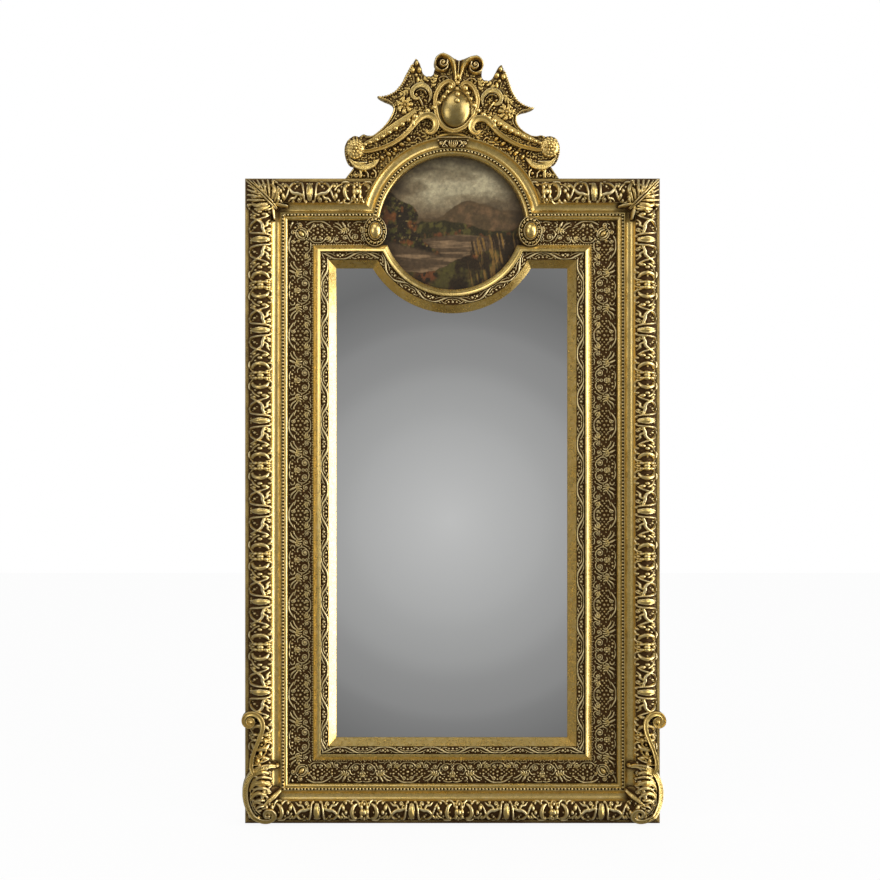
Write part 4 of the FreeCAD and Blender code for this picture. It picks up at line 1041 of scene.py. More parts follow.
def make_strings():
    """The beads in the outer groove, also over the arch, and the fine beads round the panel's inner edge."""
    for name, u, pitch, size, h, node, clear in (
        ("bead_string", 91.0, 8.2, 2.95, 60.0, "outer_beads", outside(ARCH_CENTRE, BEAD_RADIUS)),
        ("fine_beads", 162.2, 6.0, 1.9, 47.0, "panel_beads", outside(PICTURE_CENTRE, PICTURE_CLEAR)),
    ):
        places = []
        for side in RUNS:
            low, high = rail_ends(side, u)
            s = np.arange(low + pitch / 2, high, pitch)
            x, z = rail_place(side, s, np.full(len(s), u))
            keep = clear(x, z) if side == "top" else x == x
            places += list(zip(x[keep], z[keep]))
        if name == "bead_string":
            half = math.pi - math.acos((ARCH_CENTRE - below_top(u)) / BEAD_RADIUS)
            turns = np.linspace(-half, half, int(2 * half * BEAD_RADIUS / pitch))
            places += [(BEAD_RADIUS * math.sin(t), ARCH_CENTRE + BEAD_RADIUS * math.cos(t)) for t in turns]
        # A relief of 1.2 lifts the beads' cavity mark, so that the gilt paints them cream: a painted highlight.
        parts = [ball_mesh(x, h, z, size, sides=10, rings=6, relief=1.2) for x, z in places]
        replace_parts(link_parts(name, parts, finish=CREST_GOLD), node)


# ================================================================ carvings cut along an outline
def edge_distance(a, b, line):
    """Distance to a closed line, above zero inside it, and the nearest point of it."""
    p = np.column_stack([a.ravel(), b.ravel()])
    best = np.full(len(p), 1e9)
    near = np.zeros_like(p)
    odd = np.zeros(len(p), bool)
    for q, r in zip(line, np.roll(line, -1, axis=0)):
        d = r - q
        t = np.clip(((p - q) @ d) / max(float(d @ d), 1e-9), 0, 1)
        foot = q + t[:, None] * d
        away = np.hypot(*(p - foot).T)
        closer = away < best
        best[closer] = away[closer]
        near[closer] = foot[closer]
        if q[1] != r[1]:
            between = (q[1] > p[:, 1]) != (r[1] > p[:, 1])
            odd ^= between & (p[:, 0] < (r[0] - q[0]) * (p[:, 1] - q[1]) / (r[1] - q[1]) + q[0])
    return (grid.reshape(a.shape) for grid in (np.where(odd, best, -best), near[:, 0], near[:, 1]))


def trimmed(cut, outline, edge, drop, by_arch=False):
    """A carving's points, moved onto its outline where they lie near it; which are inside; how its edge rounds off."""
    a, b = np.meshgrid(cut.a, cut.b)
    away, near_a, near_b = edge_distance(a, b, np.asarray(outline, float))
    if by_arch:
        low = CREST_DATUM - ARCH_CENTRE
        r = np.hypot(a, b + low)
        nearer = r - ARCH_EDGE < away
        away = np.where(nearer, r - ARCH_EDGE, away)
        near_a = np.where(nearer, a * ARCH_EDGE / r, near_a)
        near_b = np.where(nearer, (b + low) * ARCH_EDGE / r - low, near_b)
    snap = np.abs(away) < 0.5 * cut.step
    inner = np.clip(1 - np.maximum(away, 0) / edge, 0, 1)
    fall = drop * (1 - np.sqrt(np.maximum(0, 1 - inner**2)))
    return np.where(snap, near_a, a), np.where(snap, near_b, b), away > -0.5 * cut.step, fall


def carved_sheet(name, cut, outline, place, ground, deep, flip=False, edge=3.0, drop=3.0, back=CORNER_BACK):
    """A carving laid over a ground that may rise and fall."""
    a, b, inside, fall = trimmed(cut, outline, edge, drop)
    x, z = place(a, b)
    return sheet(name, x, ground(a, b) + cut.h - fall, z, cut.h, cut.step, deep, inside, back, flip)


def symmetric(half):
    return np.vstack([half, half[::-1] * (-1, 1)])


# ================================================================ crest
def crest_place(a, b):
    """From the crest's own upright drawing to the frame: the crown leans to the right, its base hardly at all."""
    turn = np.radians(np.interp(b, (-68, 0, 30, 90), (0.0, -0.5, -0.3, 4.2)))
    return a * np.cos(turn) + b * np.sin(turn), CREST_DATUM + b * np.cos(turn) - a * np.sin(turn)


def leaned(points, sign):
    """Points of the crest's drawing, on either side, as (x, z) in the frame."""
    line = np.asarray(points, float)
    return np.column_stack(crest_place(line[:, 0] * sign, line[:, 1]))


def ruffled(points, pitch, depth):
    """A line with small teeth along it, on its left."""
    line = smooth_line(points, 12)
    run = lengths(line)
    at = np.linspace(0, run[-1], max(2, int(run[-1] / 1.2)))
    even = np.column_stack([np.interp(at, run, line[:, 0]), np.interp(at, run, line[:, 1])])
    ahead = np.gradient(even, axis=0)
    ahead /= np.hypot(*ahead.T)[:, None]
    tooth = np.abs(np.sin(np.pi * at / pitch)) * depth * np.minimum(1, np.minimum(at, run[-1] - at) / 6)
    return even + np.column_stack([-ahead[:, 1], ahead[:, 0]]) * tooth[:, None]


def crest_outline():
    """Half of the crest's edge, from the foot of its neck to the middle of its top."""
    neck = smooth_line("258,-68 252,-60 240,-44 237,-38", 8)
    shoulder = smooth_line("237,-38 247,-34 255,-20 259,0 257,16 248,29 235,35 224,33", 8)
    step = smooth_line("224,33 214,38 203,36 190,36", 6)
    rise = smooth_line("190,36 176,45 162,58 152,74 148,88 150,96 158,102 171,106", 8)
    spike = smooth_line("171,106 184,112 190,117", 6)
    spire = ruffled("190,117 176,119 160,125 146,136 134,154 124,178 114,198 107,208", 6.5, 2.4)
    tip = smooth_line("107,208 103,214 98,211 93,202 88,190 83,180 75,174 66,174 59,180 57,190", 8)
    curl = [(37 + 22 * math.cos(math.radians(t)), 208 + 22 * math.sin(math.radians(t))) for t in range(-32, 126, 6)]
    top = smooth_line("24,226 14,223 6,219 0,217", 6)
    return np.vstack([neck, shoulder[1:], step[1:], rise[1:], spike[1:], spire[1:], tip, curl, top])


CREST_DRAWING = """
# the strap that rolls over the top and curls round its eye
soft 4,152 5,170 8,187 12,201 18,212 30,221 43,224 54,216 58,203 52,191 40,187 29,193 26,204 / 3 4.2 6 9.5 11.5
    9.5 7.5 6.5 5.8 5.2 4.8 4.2 3.5 / 7 10 14 19 23 24 23 21 20 19 18 17 16
ridge 8,190 13,206 24,220 40,227 / 1.4 2 2 1.4 / 16 23 26 24
ball 39,205,4.2,25.5
# bud between the straps, hanging on a short stem
ridge 0,214 0,200 0,186 / 1.6 2.2 2.6 / 10 11 11
ball 0,178,5.5,12,1.5 5.5,171,4.5,10.5,1.2 0,164,3.6,9,1.4
# dark field beside the straps, with a plain rim
round 60,187 64,178 72,176 80,180 / 2 2.4 2 / 6.5
# spire: bud at its tip, two bulbs, a long drop, and the roped edge
ridge 88,174 84,160 80,148 / 1.2 1.6 1 / 4 5 3
ridge 106,172 104,158 101,146 / 1.2 1.6 1 / 4 5 3
round 188,115 176,111 163,108 154,103 / 2.2 3 2.6 2 / 8 8.5 8 7
leaf 112,140 122,130 136,124 / 7 7 4
leaf 88,158 78,166 66,172 / 6 6.5 3
leaf 56,150 57,164 52,178 / 7 7 4
round 46,168 38,174 28,174 20,168 / 1.4 2.2 2 1.2 / 7 9 9 7
ball 101,203,5,9,1.5,12 93,187,7,11.5,1.15 109,185,6,9.5,1.25,15 100,174,4.4,8 95,163,4.6,9,2 84,152,3.4,8
    72,162,3.6,8 64,168,2.6,8 120,148,3.2,8 131,138,2.8,8 112,118,3.4,8 70,96,3.4,8 60,106,3,8 92,108,3.2,8
    142,108,3,8
# inner line of the spire
ridge 104,162 113,146 124,131 138,119 152,112 / 1 1.6 1.6 1 / 4.5 6 6 5
ridge 112,154 119,142 128,131 / .9 1.2 .9 / 4 5 4
# the curled leaf, its tongue and the hollow under it
channel 65,112 61,124 65,136 75,146 88,149 100,144 107,133 105,122 97,117 88,118 / 2 4 5.5 6.5 6.5 6 5 4 3 / 7
    11 14 15 15 13 11 10 9
ridge 72,130 79,137 89,139 97,134 / 1.2 1.8 1.8 1.2 / 14 16 16 13
round 90,120 85,112 79,101 / 3.2 3.6 2 / 12 13 10
ball 96,126,4,12 122,100,3.8,12.5 134,112,3.4,8.5 108,112,3,8.5 138,98,3.6,8.5 132,86,3.4,8.5 118,82,3.2,8.5
    104,92,2.8,8.5 126,118,3.2,8.5
# plain strip down the edge, with a fine line inside it
soft 151,100 147,90 150,74 160,58 175,44 192,34 208,32 / 3 4.2 4.6 4.4 3.8 3 2 / 7 8 8 8 7.5 6.5 5
ridge 141,92 141,78 150,62 166,45 184,32 / 1 1.6 1.6 1.4 1 / 4.5 6 6 6 4.5
# hollow strap that carries the swag, between the strip and the scroll
channel 98,88 112,74 132,60 156,44 184,28 208,18 / 5 7 8 8 7 5 / 3 5.5 6 6 5.5 4
ball 99,58,6.5,12,1.6,-28 97,70,5,11
# inside the scroll's ring
leaf 58,30 66,38 66,50 / 9 6.5 4
round 74,22 82,30 90,26 / 1.8 2.4 1.4 / 6 7.5 5
ball 84,40,3.6,7.5 92,32,3,7
# concave foot between the two scrolls, with a fluted leaf at its middle
soft 0,40 14,38 30,34 40,28 / 8 8 6 3 / 8 8 7 5
lobe 18,22 26,14 38,12 / 1.6 2.4 1.4 / 7 9 6
# under the rosette: a bent leaf over the neck
channel 246,-22 232,-36 212,-42 192,-36 180,-24 / 3 6.5 8.5 7 3.5 / 9 13 14 13 9
lobe 236,-28 222,-31 206,-29 / 2 4.2 2.4 / 13 16 12
round 190,-24 186,-34 184,-44 / 1.6 2.2 1.4 / 9 10 7
# neck: plain margin, C-scroll, leaf and ring
soft 253,-66 243,-52 237,-44 / 2 2.6 2 / 4 5 4
ridge 243,-66 233,-50 / 1.4 1.6 / 4 5 / 3
lobe 222,-47 220,-58 221,-68 / 3 4.5 4 / 10 12 11
round 222,-52 212,-50 204,-56 202,-67 / 2 2.8 2.6 2 / 9 11 11 9
scroll 232,-60 / 7 120 1.2 2 9
lobe 190,-46 184,-54 184,-66 / 2 2.8 2 / 8 10 8
ball 212,-62,3.4,9 192,-56,4.2,9
"""


def carve_crest():
    cut = HalfRelief(262.0, -70.0, 233.0, 1.0)
    cut.draw(CREST_DRAWING)
    # seat of the shield, and the eye that the strap curls round
    cut.ball(0, 96, 46, 10.0, squeeze=1.22, kind="flat")
    cut.ball(39, 205, 14.0, 19.5, kind="soft")
    cut.stroke(spiral(39, 205, 11.5, 2.4, 150, 1.5), (2.6, 1.7), (23.5, 25.5), "round", 0)
    # the roped edge of the spire
    edge = smooth_line("111,199 120,178 130,155 142,137 157,125 174,118.5 186,116", 12)
    run = lengths(edge)
    cut.stroke(edge, (2.6, 3.4, 3.6, 3.2), (6, 7, 7, 8), "round", 0)
    at = lambda d: (np.interp(d, run, edge[:, 0]), np.interp(d, run, edge[:, 1]))
    for d in np.arange(3, run[-1] - 2, 5.4):
        (x, y), (x2, y2) = at(d), at(d + 3)
        aim = math.atan2(y2 - y, x2 - x) + 1.0
        dx, dy = 4.2 * math.cos(aim), 4.2 * math.sin(aim)
        cut.stroke([(x - dx, y - dy), (x + dx, y + dy)], (1.7, 2.0, 1.4), 9.0, "round", 0)
    # the flower: seven petals and a ring of seeds
    width = math.pi * 19 * 0.72 / 7
    for i in range(7):
        angle = math.radians(15 + 360.0 * i / 7)
        ray = np.array([math.cos(angle), math.sin(angle)]) * 19
        petal = [ray * 0.35 + (122, 100), ray * 0.8 + (122, 100)]
        cut.stroke(petal, (width * 0.6, width), (9.0 * 0.9, 9.0), "lobe", 3)
    for x, y in around(8, 8.5, 8.5, 122, 100):
        cut.ball(x, y, 3.0, 11.0)
    # bits of leaf that run along the arch, under the scroll
    for x, y, r, t in numbers(
        "106,27,7.5,40 122,15,8,30 138,3,7.5,48 153,-8,8,40 169,-17,7.5,60 184,-26,6.5,50 "
        "118,32,5,20 140,17,5,30 162,2,5,30 180,-8,4.6,30"
    ):
        cut.ball(x, y, r, 10.5, squeeze=0.62, turn=t)
        aim = math.radians(t)
        spine = [(x - 5 * math.sin(aim), y - 5 * math.cos(aim)), (x + 2, y + 3), (x + 7 * math.cos(aim), y + 6)]
        cut.stroke(spine, (1.4, 2.0, 1.2), (7, 9.5, 6), "ridge", 3)
        cut.ball(x - 7, y + 5, 2.6, 8.0)
    # the flutes of the foot between the two scrolls
    for x in (0, 6, 12):
        cut.stroke([(x * 0.4, 27), (x, 17), (x * 1.3, 10)], (1.8, 3.0, 1.6), (8, 12, 9))
    fill_hollows(cut)
    return cut.whole()


def fill_hollows(cut):
    """Small buds and leaflets wherever the field of the crest would be bare."""
    for b in np.arange(-66, 224, 5.6):
        for a in np.arange(2, 256, 6.0):
            x, y = a + random.uniform(-1.8, 1.8), b + random.uniform(-1.6, 1.6)
            j, i = int(round((y - cut.b[0]) / cut.step)), int(round((x - cut.a[0]) / cut.step))
            near = cut.h[max(0, j - 2) : j + 3, max(0, i - 2) : i + 3]
            if near.size and near.max() < 3.2:
                radius, height = random.uniform(2.0, 2.9), random.uniform(3.4, 5.4)
                cut.ball(x, y, radius, height, squeeze=random.uniform(1.2, 2.0), turn=random.uniform(0, 180))


def make_crest():
    """Cuts the carving along its outline and shares it out; a piece takes what is left of its region."""
    cut = carve_crest()
    a2, b2, solid, fall = trimmed(cut, symmetric(crest_outline()), 3.2, 3.4, by_arch=True)
    x, z = crest_place(a2, b2)
    h = CREST_GROUND + cut.h - fall
    left = solid[:-1, :-1] & solid[1:, :-1] & solid[:-1, 1:] & solid[1:, 1:]
    a, b = np.meshgrid((cut.a[:-1] + cut.a[1:]) / 2, (cut.b[:-1] + cut.b[1:]) / 2)
    curl = lambda sign: (np.hypot(a - sign * 37, b - 208) < 21.5) & (a * sign > 0)
    wing = lambda sign: (a * sign > 46) & (b > 60 + (a * sign - 46) * 0.36)
    for name, node, region in (
        ("crown_curl_left", "crown_volute_left", curl(-1)),
        ("crown_curl_right", "crown_volute_right", curl(1)),
        ("crown_centre", "crown_middle", (np.abs(a) <= 46) & (b > 40 + np.abs(a) * 20 / 46)),
        ("crown_leaf_left", "crown_wing_left", wing(-1)),
        ("crown_leaf_right", "crown_wing_right", wing(1)),
        ("shoulder_carving_left", "crest_shoulder_left", a <= 0),
        ("shoulder_carving_right", "crest_shoulder_right", a > 0),
    ):
        piece = sheet(name, x, h, z, cut.h, cut.step, 16.0, left & region, CREST_BACK, finish=CREST_GOLD)
        left &= ~region
        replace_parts(piece, node)


DOUBLE = numbers(
    "1,-.3 1,.25 .86,.72 .66,.85 .46,.62 .28,.42 .05,.44 -.2,.78 -.48,1 -.78,.82 -.97,.35 -1,-.3"
)
TROUGH = numbers("1,-.4 1,.3 .88,.72 .68,.72 .35,.46 0,.36 -.35,.5 -.66,.88 -.88,.96 -1,.4 -1,-.4")
RIM_PATH = "14,143 10,150 13,158 22,161 33,155 43,143 50,125 50,104 45,84 36,66 24,53 11,46 0,43.5"
SCROLL_PATH = """66,47 60,41 52,40 45,46 42,57 46,68 56,76 69,77 82,70 94,57 107,42 124,28 146,14 172,4 198,-2
    214,-3"""


def make_crest_ribbons():
    """The shield's double rim, the C-scrolls and the rosettes that they run into."""
    parts = []
    for _, sign in SIDES:
        line = leaned(smooth_line(RIM_PATH), sign)
        high, wide = numbers("61 62.5 62.5 62 61 61 61.5 62"), numbers("2 4.6 5.4 5.4 5 5.4 5.6 5.6")
        section = DOUBLE if sign > 0 else mirrored(DOUBLE)
        parts.append(swept(line, high, wide, numbers("4 6.5 7 7 6.5 7 7"), section))
    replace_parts(link_parts("shield_rim", parts), "cartouche_rim")
    for side, sign in SIDES:
        line = leaned(smooth_line(SCROLL_PATH), sign)
        wide = numbers("2.2 4.2 5.4 6.8 7.6 8 8 7.4 6.8 6 5.4 5 4.6 4.2 3.8 3.2")
        high = numbers("56 57 58 59 60 60.5 60.5 60 59.5 59 58.5 58.5 58.5 58.5 58.5 58")
        section = mirrored(TROUGH) if sign > 0 else TROUGH
        ribbon = swept(line, high, wide, numbers("6 8 9 10 10 10 9 9 9 9 9 9 9 8"), section)
        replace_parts(link_parts(f"volute_scroll_{side}", [ribbon]), f"crest_scroll_{side}")
        x, z = leaned([(233, 4)], sign)[0]
        parts = [ball_mesh(x, 54, z, 22.5, 24.0, 11.0, 28, 14), ball_mesh(x, 67, z, 4.6, deep=5.5)]
        for ring, count, size, lift in ((7.8, 6, 3.3, 65.5), (14.0, 11, 3.1, 62.5), (19.8, 16, 2.9, 57.5)):
            for i in range(count):
                t = TURN * (i + 0.5 * (ring > 10)) / count
                u, v = x + ring * math.cos(t), z + ring * 1.06 * math.sin(t)
                parts.append(ball_mesh(u, lift, v, size, size * 1.15, size * 1.1, 10, 7))
        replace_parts(link_parts(f"rosette_carving_{side}", parts), f"rosette_{side}")


def make_garland():
    """Strings of berries: four down the shield, and a swag to each rosette."""
    parts = []
    for b, r in ((160, 5.6), (145, 5.8), (129, 6.4), (113, 6.6)):
        x, z = leaned([(0, b)], 1)[0]
        parts.append(ball_mesh(x, 60 + 20 * math.sqrt(max(0, 1 - ((b - 96) / 48) ** 2)), z, r))
    # across, up, radius and height of each berry of the swag
    swag = numbers(
        "18,146,6.6,70 24,133,5,74 32,120,5,75 42,107,6,66 53,96,6.2,64 67,88,6.6,61 81,80,6.8,61 94,73,7.6,62 "
        "109,66,6.2,60 123,57,6.8,60 138,48,6.6,60 153,40,6.2,60 168,32,6,60 183,25,5.6,59.5 198,19,5.2,59 "
        "210,14,4.6,58.5"
    )
    for _, sign in SIDES:
        for a, b, r, h in swag:
            x, z = leaned([(a, b)], sign)[0]
            parts.append(ball_mesh(x, h, z, r))
        x, z = leaned([(97, 60)], sign)[0]
        parts.append(ball_mesh(x, 60, z, 5.6, 10.0, 7.5))
    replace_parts(link_parts("berry_garland", parts), "garland")


# ================================================================ corners, medallions and small carvings
def corner_ground(m):
    """Height of the frame's face where a corner carving lies: m is how far in from the nearer edge."""
    return 1.0 + np.interp(m, (-8, 0, 8, 22, 42, 60, 74, 86, 98, 112), (54, 57, 62, 71, 83, 78, 68, 63, 58, 52))


def flat_ground(h):
    return lambda a, b: 0 * a + h


TOP_LEAF_OUTLINE = """0,5 8,13 20,25 34,39 45,49 48,55 42,60 34,62 27,66 26,70 33,70 40,75 39,81 33,85 31,91 25,93
    23,99 18,102 17,107 21,115 24,126 14,120 7,112 0,112"""
TOP_LEAVES_DRAWING = """
round 2.5,8 3,50 3,84 1.5,108 / 2 3 3.2 1.8 / 9 13 13.5 10
ball 44,56,3,10.5 38,80,3,10.5 31,87,3,10.5 24,95,3,10.5
"""


def make_top_leaves():
    """An acanthus leaf on each upper mitre, its rib on the diagonal."""
    cut = HalfRelief(60.0, 2.0, 130.0, 0.8)
    cut.ball(0, 62, 30, 5.0, squeeze=1.9, kind="soft")
    cut.draw(TOP_LEAVES_DRAWING)
    for p, q, r, w in (
        ((4, 52), (6, 36), (8, 20), 2.4), ((5, 62), (11, 44), (16, 26), 3.0), ((6, 70), (16, 52), (25, 35), 3.4),
        ((7, 78), (21, 62), (34, 44), 4.0), ((8, 86), (27, 73), (42, 53), 5.0), ((9, 94), (25, 88), (36, 77), 5.2),
        ((8, 101), (17, 98), (26, 88), 3.6), ((4, 98), (11, 109), (21, 122), 4.4),
    ):
        cut.stroke([p, q, r], (w * 0.6, w * 1.05, w * 0.7), (9, 13.0, 9.5), "lobe")
        cut.stroke([p, q, r], (0.7, 1.0, 0.6), (10.0, 14.2, 10.5), "ridge")
    cut.whole()
    outline = symmetric(smooth_line(TOP_LEAF_OUTLINE, 6))
    ground = lambda q, p: corner_ground((p - np.abs(q)) / math.sqrt(2))
    for side, sign in SIDES:
        def place(q, p):
            u, v = (p + q) / math.sqrt(2), (p - q) / math.sqrt(2)
            return sign * (HALF_WIDTH - u), HEIGHT - v * 0.985
        piece = carved_sheet(f"acanthus_top_{side}", cut, outline, place, ground, 12.0, side == "right")
        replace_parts(piece, f"corner_leaf_top_{side}")


FOOT_OUTLINE = """56,151 32,147 12,130 -1,106 -6,84 -5,58 2,35 16,15 36,4 53,1 69,6 79,20 79,36 68,46 72,56 80,66 88,83
    77,90 66,92 63,100 67,108 63,116 66,123 62,130 71,130 82,134 84,142 74,151 56,151"""
FOOT_LEAVES_DRAWING = """
# the strap that scrolls into an eye at the foot
channel 74,141 60,144 38,140 20,127 7,105 1.5,83 2.5,59 10,37 23,20 40,10 56,8.5 69,16 72,28 65,38 54,38 48,30
    51,22 58,22 / 3.5 5 6 7 7.5 7.5 7.5 7.5 7 7 6.5 6 5.5 5 4.5 4 3.5 3 / 10 13 14 15 15 15 15 15 15 15 15 15
    15 15 16 16 17 17
ridge 13,74 15,54 24,36 38,23 / .8 1.5 1.5 .8 / 11 13 13 11
ridge 18,70 20,54 28,40 40,29 / .8 1.5 1.5 .8 / 11 13 13 11
ridge 9,96 12,110 24,126 38,134 / .8 1.5 1.5 .8 / 11 13 13 11
ridge 36,128 22,112 15,92 16,66 26,44 38,32 / 1 1.8 2 2 1.8 1 / 8 10 11 11 10 8
ball 59,25,5,19 78,142,5,12 66,106,2.6,9 62,122,2.6,9 76,60,2.6,9 70,50,2.6,9
"""


def make_foot_leaves():
    """The scrolled leaf that wraps each lower corner."""
    cut = Relief((-8, -1), (90, 154), 0.8)
    cut.draw(FOOT_LEAVES_DRAWING)
    for p, q, r, t, w in (
        ((8, 102), (22, 121), (42, 131), (57, 127), 4.8), ((13, 94), (27, 112), (44, 120), (59, 116), 3.6),
        ((11, 82), (22, 98), (41, 107), (63, 98), 5.2), ((15, 72), (27, 88), (44, 94), (58, 88), 3.4),
        ((14, 60), (22, 73), (34, 80), (50, 77), 4.8), ((19, 47), (26, 58), (36, 64), (48, 63), 3.6),
        ((48, 52), (60, 62), (72, 71), (85, 82), 5.0), ((27, 38), (32, 45), (38, 49), (46, 50), 2.8),
    ):
        cut.stroke([p, q, r, t], (w * 0.7, w * 1.05, w * 1.2, w * 0.8), (9, 13.5, 15.0, 10.5), "lobe")
        cut.stroke([p, q, r, t], (0.7, 1.0, 1.1, 0.7), (10.5, 14.8, 16.2, 12), "ridge")
    outline = smooth_line(FOOT_OUTLINE, 6)[:-1]
    ground = lambda u, v: corner_ground(np.minimum(u, v))
    for side, sign in SIDES:
        place = lambda u, v: (sign * (HALF_WIDTH - u), v + 1.0)
        piece = carved_sheet(f"acanthus_foot_{side}", cut, outline, place, ground, 15.0, side == "right")
        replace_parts(piece, f"corner_leaf_bottom_{side}")


STALK_PATH = """15,246 9,247 8,254 13,259 20,256 22,248 17,241 8,240 0,246 -1,257 6,267 20,270 34,264 43,250 43,231
    35,208 25,184 18,160 17,140 22,126"""
STALK_SECTION = numbers("-1,-1.6 -1,.4 -.86,.96 -.62,.9 -.3,.5 0,.38 .35,.46 .68,.74 .88,.72 1,.3 1,-1.6")


def make_side_volutes():
    """The stalk that climbs from each lower leaf and rolls over the edge of the frame."""
    wide = numbers("2 2.6 3 3.4 3.6 3.8 4 4.4 4.8 5 5.4 5.8 6 5.6 5 4.6 4.6 4.6 4.6 4")
    high = numbers("92 91 90 89 88 87 86 85 84 84 85 88 90 91 91 91 90 88 86 84")
    half_round = [(-1, -1), *((-math.cos(t), math.sin(t)) for t in np.linspace(0, math.pi, 7)), (1, -1)]
    for side, sign in SIDES:
        turned = (lambda section: section) if side == "right" else mirrored
        def at_edge(path, count):
            line = smooth_line(path, count)
            return np.column_stack([sign * (HALF_WIDTH - line[:, 0]), line[:, 1]])
        parts = [swept(at_edge(STALK_PATH, 8), high, wide, numbers("7 8 8 8 8 8 8"), turned(STALK_SECTION))]
        # the eye, then the berries: in from the edge, up, half width, half height, forward, half depth
        for u, z, r, tall, h, deep in numbers(
            "14.5,251.5,5,5,92,7 50,205,5.2,7.5,84,9 41,196,3,3,86,5 39,174,5,8,85,8 51,183,3.6,8.5,80,8 "
            "33,158,4.6,7,87,7 46,164,3.6,6,82,7 53,220,3.4,5,78,7"
        ):
            parts.append(ball_mesh(sign * (HALF_WIDTH - u), h, z, r, tall, deep))
        for bit in ("36,190 42,188 48,193 52,200", "27,170 36,164 44,168 52,178", "20,148 30,148 38,154 44,162"):
            parts.append(swept(at_edge(bit, 6), 84, (1.6, 2.6, 1.6), 6, turned(half_round)))
        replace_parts(link_parts(f"stalk_{side}", parts), f"side_volute_{side}")


def make_medallions():
    """Oval bosses beside the picture: a wreath of leaves and pearls round each stone's seat."""
    cut = Relief((-30, -39), (30, 39), 0.7)
    cut.ball(0, 0, 15.6, 13.0, squeeze=1.34, kind="flat")
    for radius, width, height in ((15.6, 1.5, 14.8), (26.6, 1.2, 6.5)):
        ring = [(radius * math.cos(t), radius * 1.32 * math.sin(t)) for t in np.linspace(0, TURN, 60)]
        cut.stroke(ring, width, height, "round", 0)
    for i in range(16):
        t = TURN * i / 16
        cut.ball(21.4 * math.cos(t), 21.4 * 1.31 * math.sin(t), 3.0, 10.5)
        petal = ((18.6, 24.6, 0.2), (22, 29, 0.26), (25.4, 33.6, 0.2))
        petal = [(half * math.cos(t + on), high * math.sin(t + on)) for half, high, on in petal]
        cut.stroke(petal, (1.0, 1.9, 0.8), (7, 9, 6), "lobe", 3)
    for side, sign in SIDES:
        place = lambda a, b: (a + sign * MEDALLION_X, b + MEDALLION_Z)
        oval, ground = around(96, 28, 37), flat_ground(54.0)
        piece = carved_sheet(f"wreath_{side}", cut, oval, place, ground, 12.0, edge=2.0, drop=2.0)
        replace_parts(piece, f"medallion_{side}")


PANEL_CORNERS_DRAWING = """
ridge 0,-8 0,14 / 1 1.6 .8 / 10 11.5 9 / 0
lobe 5,-6 9,2 7,11 2,15 / 1.6 2.6 1.4 / 7 9 6
round 0,-12 6,-10 12,-4 14,5 11,13 4,19 / 1.2 1.8 2 1.8 1.2 / 6 7.5 7.5 6.5
scroll 12,-13 / 6.6 160 1.3 1.5 7
scroll 17.5,10 / 4.4 -60 1.2 1.3 6
ball 0,3,5.5,10,1.7 0,-18,3,7 0,20,2.4,6 20,0,2.2,5.5
"""


def make_panel_corners():
    """The knot of bud and scrolls at each corner of the filigree."""
    cut = HalfRelief(24.0, -24.0, 24.0, 0.7)
    cut.draw(PANEL_CORNERS_DRAWING)
    cut.whole()
    pieces = []
    for side, sx in SIDES:
        for level, sz in (("bottom", -1), ("top", 1)):
            def place(a, b):
                along, across = (b + a) / math.sqrt(2), (b - a) / math.sqrt(2)
                return sx * (CORNER_X - along), (CORNER_TOP - across) if sz > 0 else (CORNER_LOW + across)
            pieces.append(carved_sheet(
                f"panel_knot_{level}_{side}", cut, around(72, 23.4, 23.4), place, flat_ground(46.8), 9.0,
                sx * sz > 0, edge=1.2, drop=0.8, back=45.0,
            ))
    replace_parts(pieces[0], "panel_corners")


KEYSTONE_DRAWING = """
round 0,26.5 40,26.5 / 2.2 2.2 / 10 10 / 0
ridge 0,21 38,22 / 1 1 / 5 5 / 0
lobe 14,6 20,12 19,18 13,18 / 1.2 2 1.2 / 7 8.5 6
scroll 28,13 / 5.4 200 -1.2 1.5 8 / 20,5 25,6
ball 35,20,2.4,7
"""


def make_keystone():
    """The block over the arch: a hollow field with a fluted leaf."""
    cut = HalfRelief(43.0, 2.0, 30.0, 0.7)
    cut.draw(KEYSTONE_DRAWING)
    for x in (0, 4.6, 9.0):
        flute = [(x * 0.5, 5), (x * 1.1, 12), (x * 0.9, 19)]
        cut.stroke(flute, (1.6, 2.4, 1.4), (10 - x * 0.3, 13 - x * 0.3, 9))
    cut.whole()
    place = lambda a, b: (a, CREST_DATUM + b)
    outline = [(-28, 4), (28, 4), (42, 28), (-42, 28)]
    piece = carved_sheet(
        "keystone_carving", cut, outline, place, flat_ground(64.0), 11.0, edge=1.6, drop=1.6, back=50.0
    )
    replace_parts(piece, "keystone")


# ================================================================ the picture
def wave(x, z, seed, size, octaves):
    """Smooth value noise over points, from 0 to 1."""
    points = np.column_stack([x, z])
    total, weight, share = np.zeros(len(points)), 0.0, 1.0
    for k in range(octaves):
        grid = np.random.default_rng(seed * 31 + k).random((64, 64))
        p = points / size * 2**k
        i = np.floor(p).astype(int)
        f = p - i
        f = f * f * (3 - 2 * f)
        g = lambda dx, dz: grid[(i[:, 0] + dx) % 64, (i[:, 1] + dz) % 64]
        low, high = (g(0, dz) * (1 - f[:, 0]) + g(1, dz) * f[:, 0] for dz in (0, 1))
        total += (low * (1 - f[:, 1]) + high * f[:, 1]) * share
        weight += share
        share *= 0.55
    return total / weight


def over(colour, paint, share):
    share = np.clip(share, 0, 1)[:, None]
    return colour * (1 - share) + np.asarray(paint, float) * share


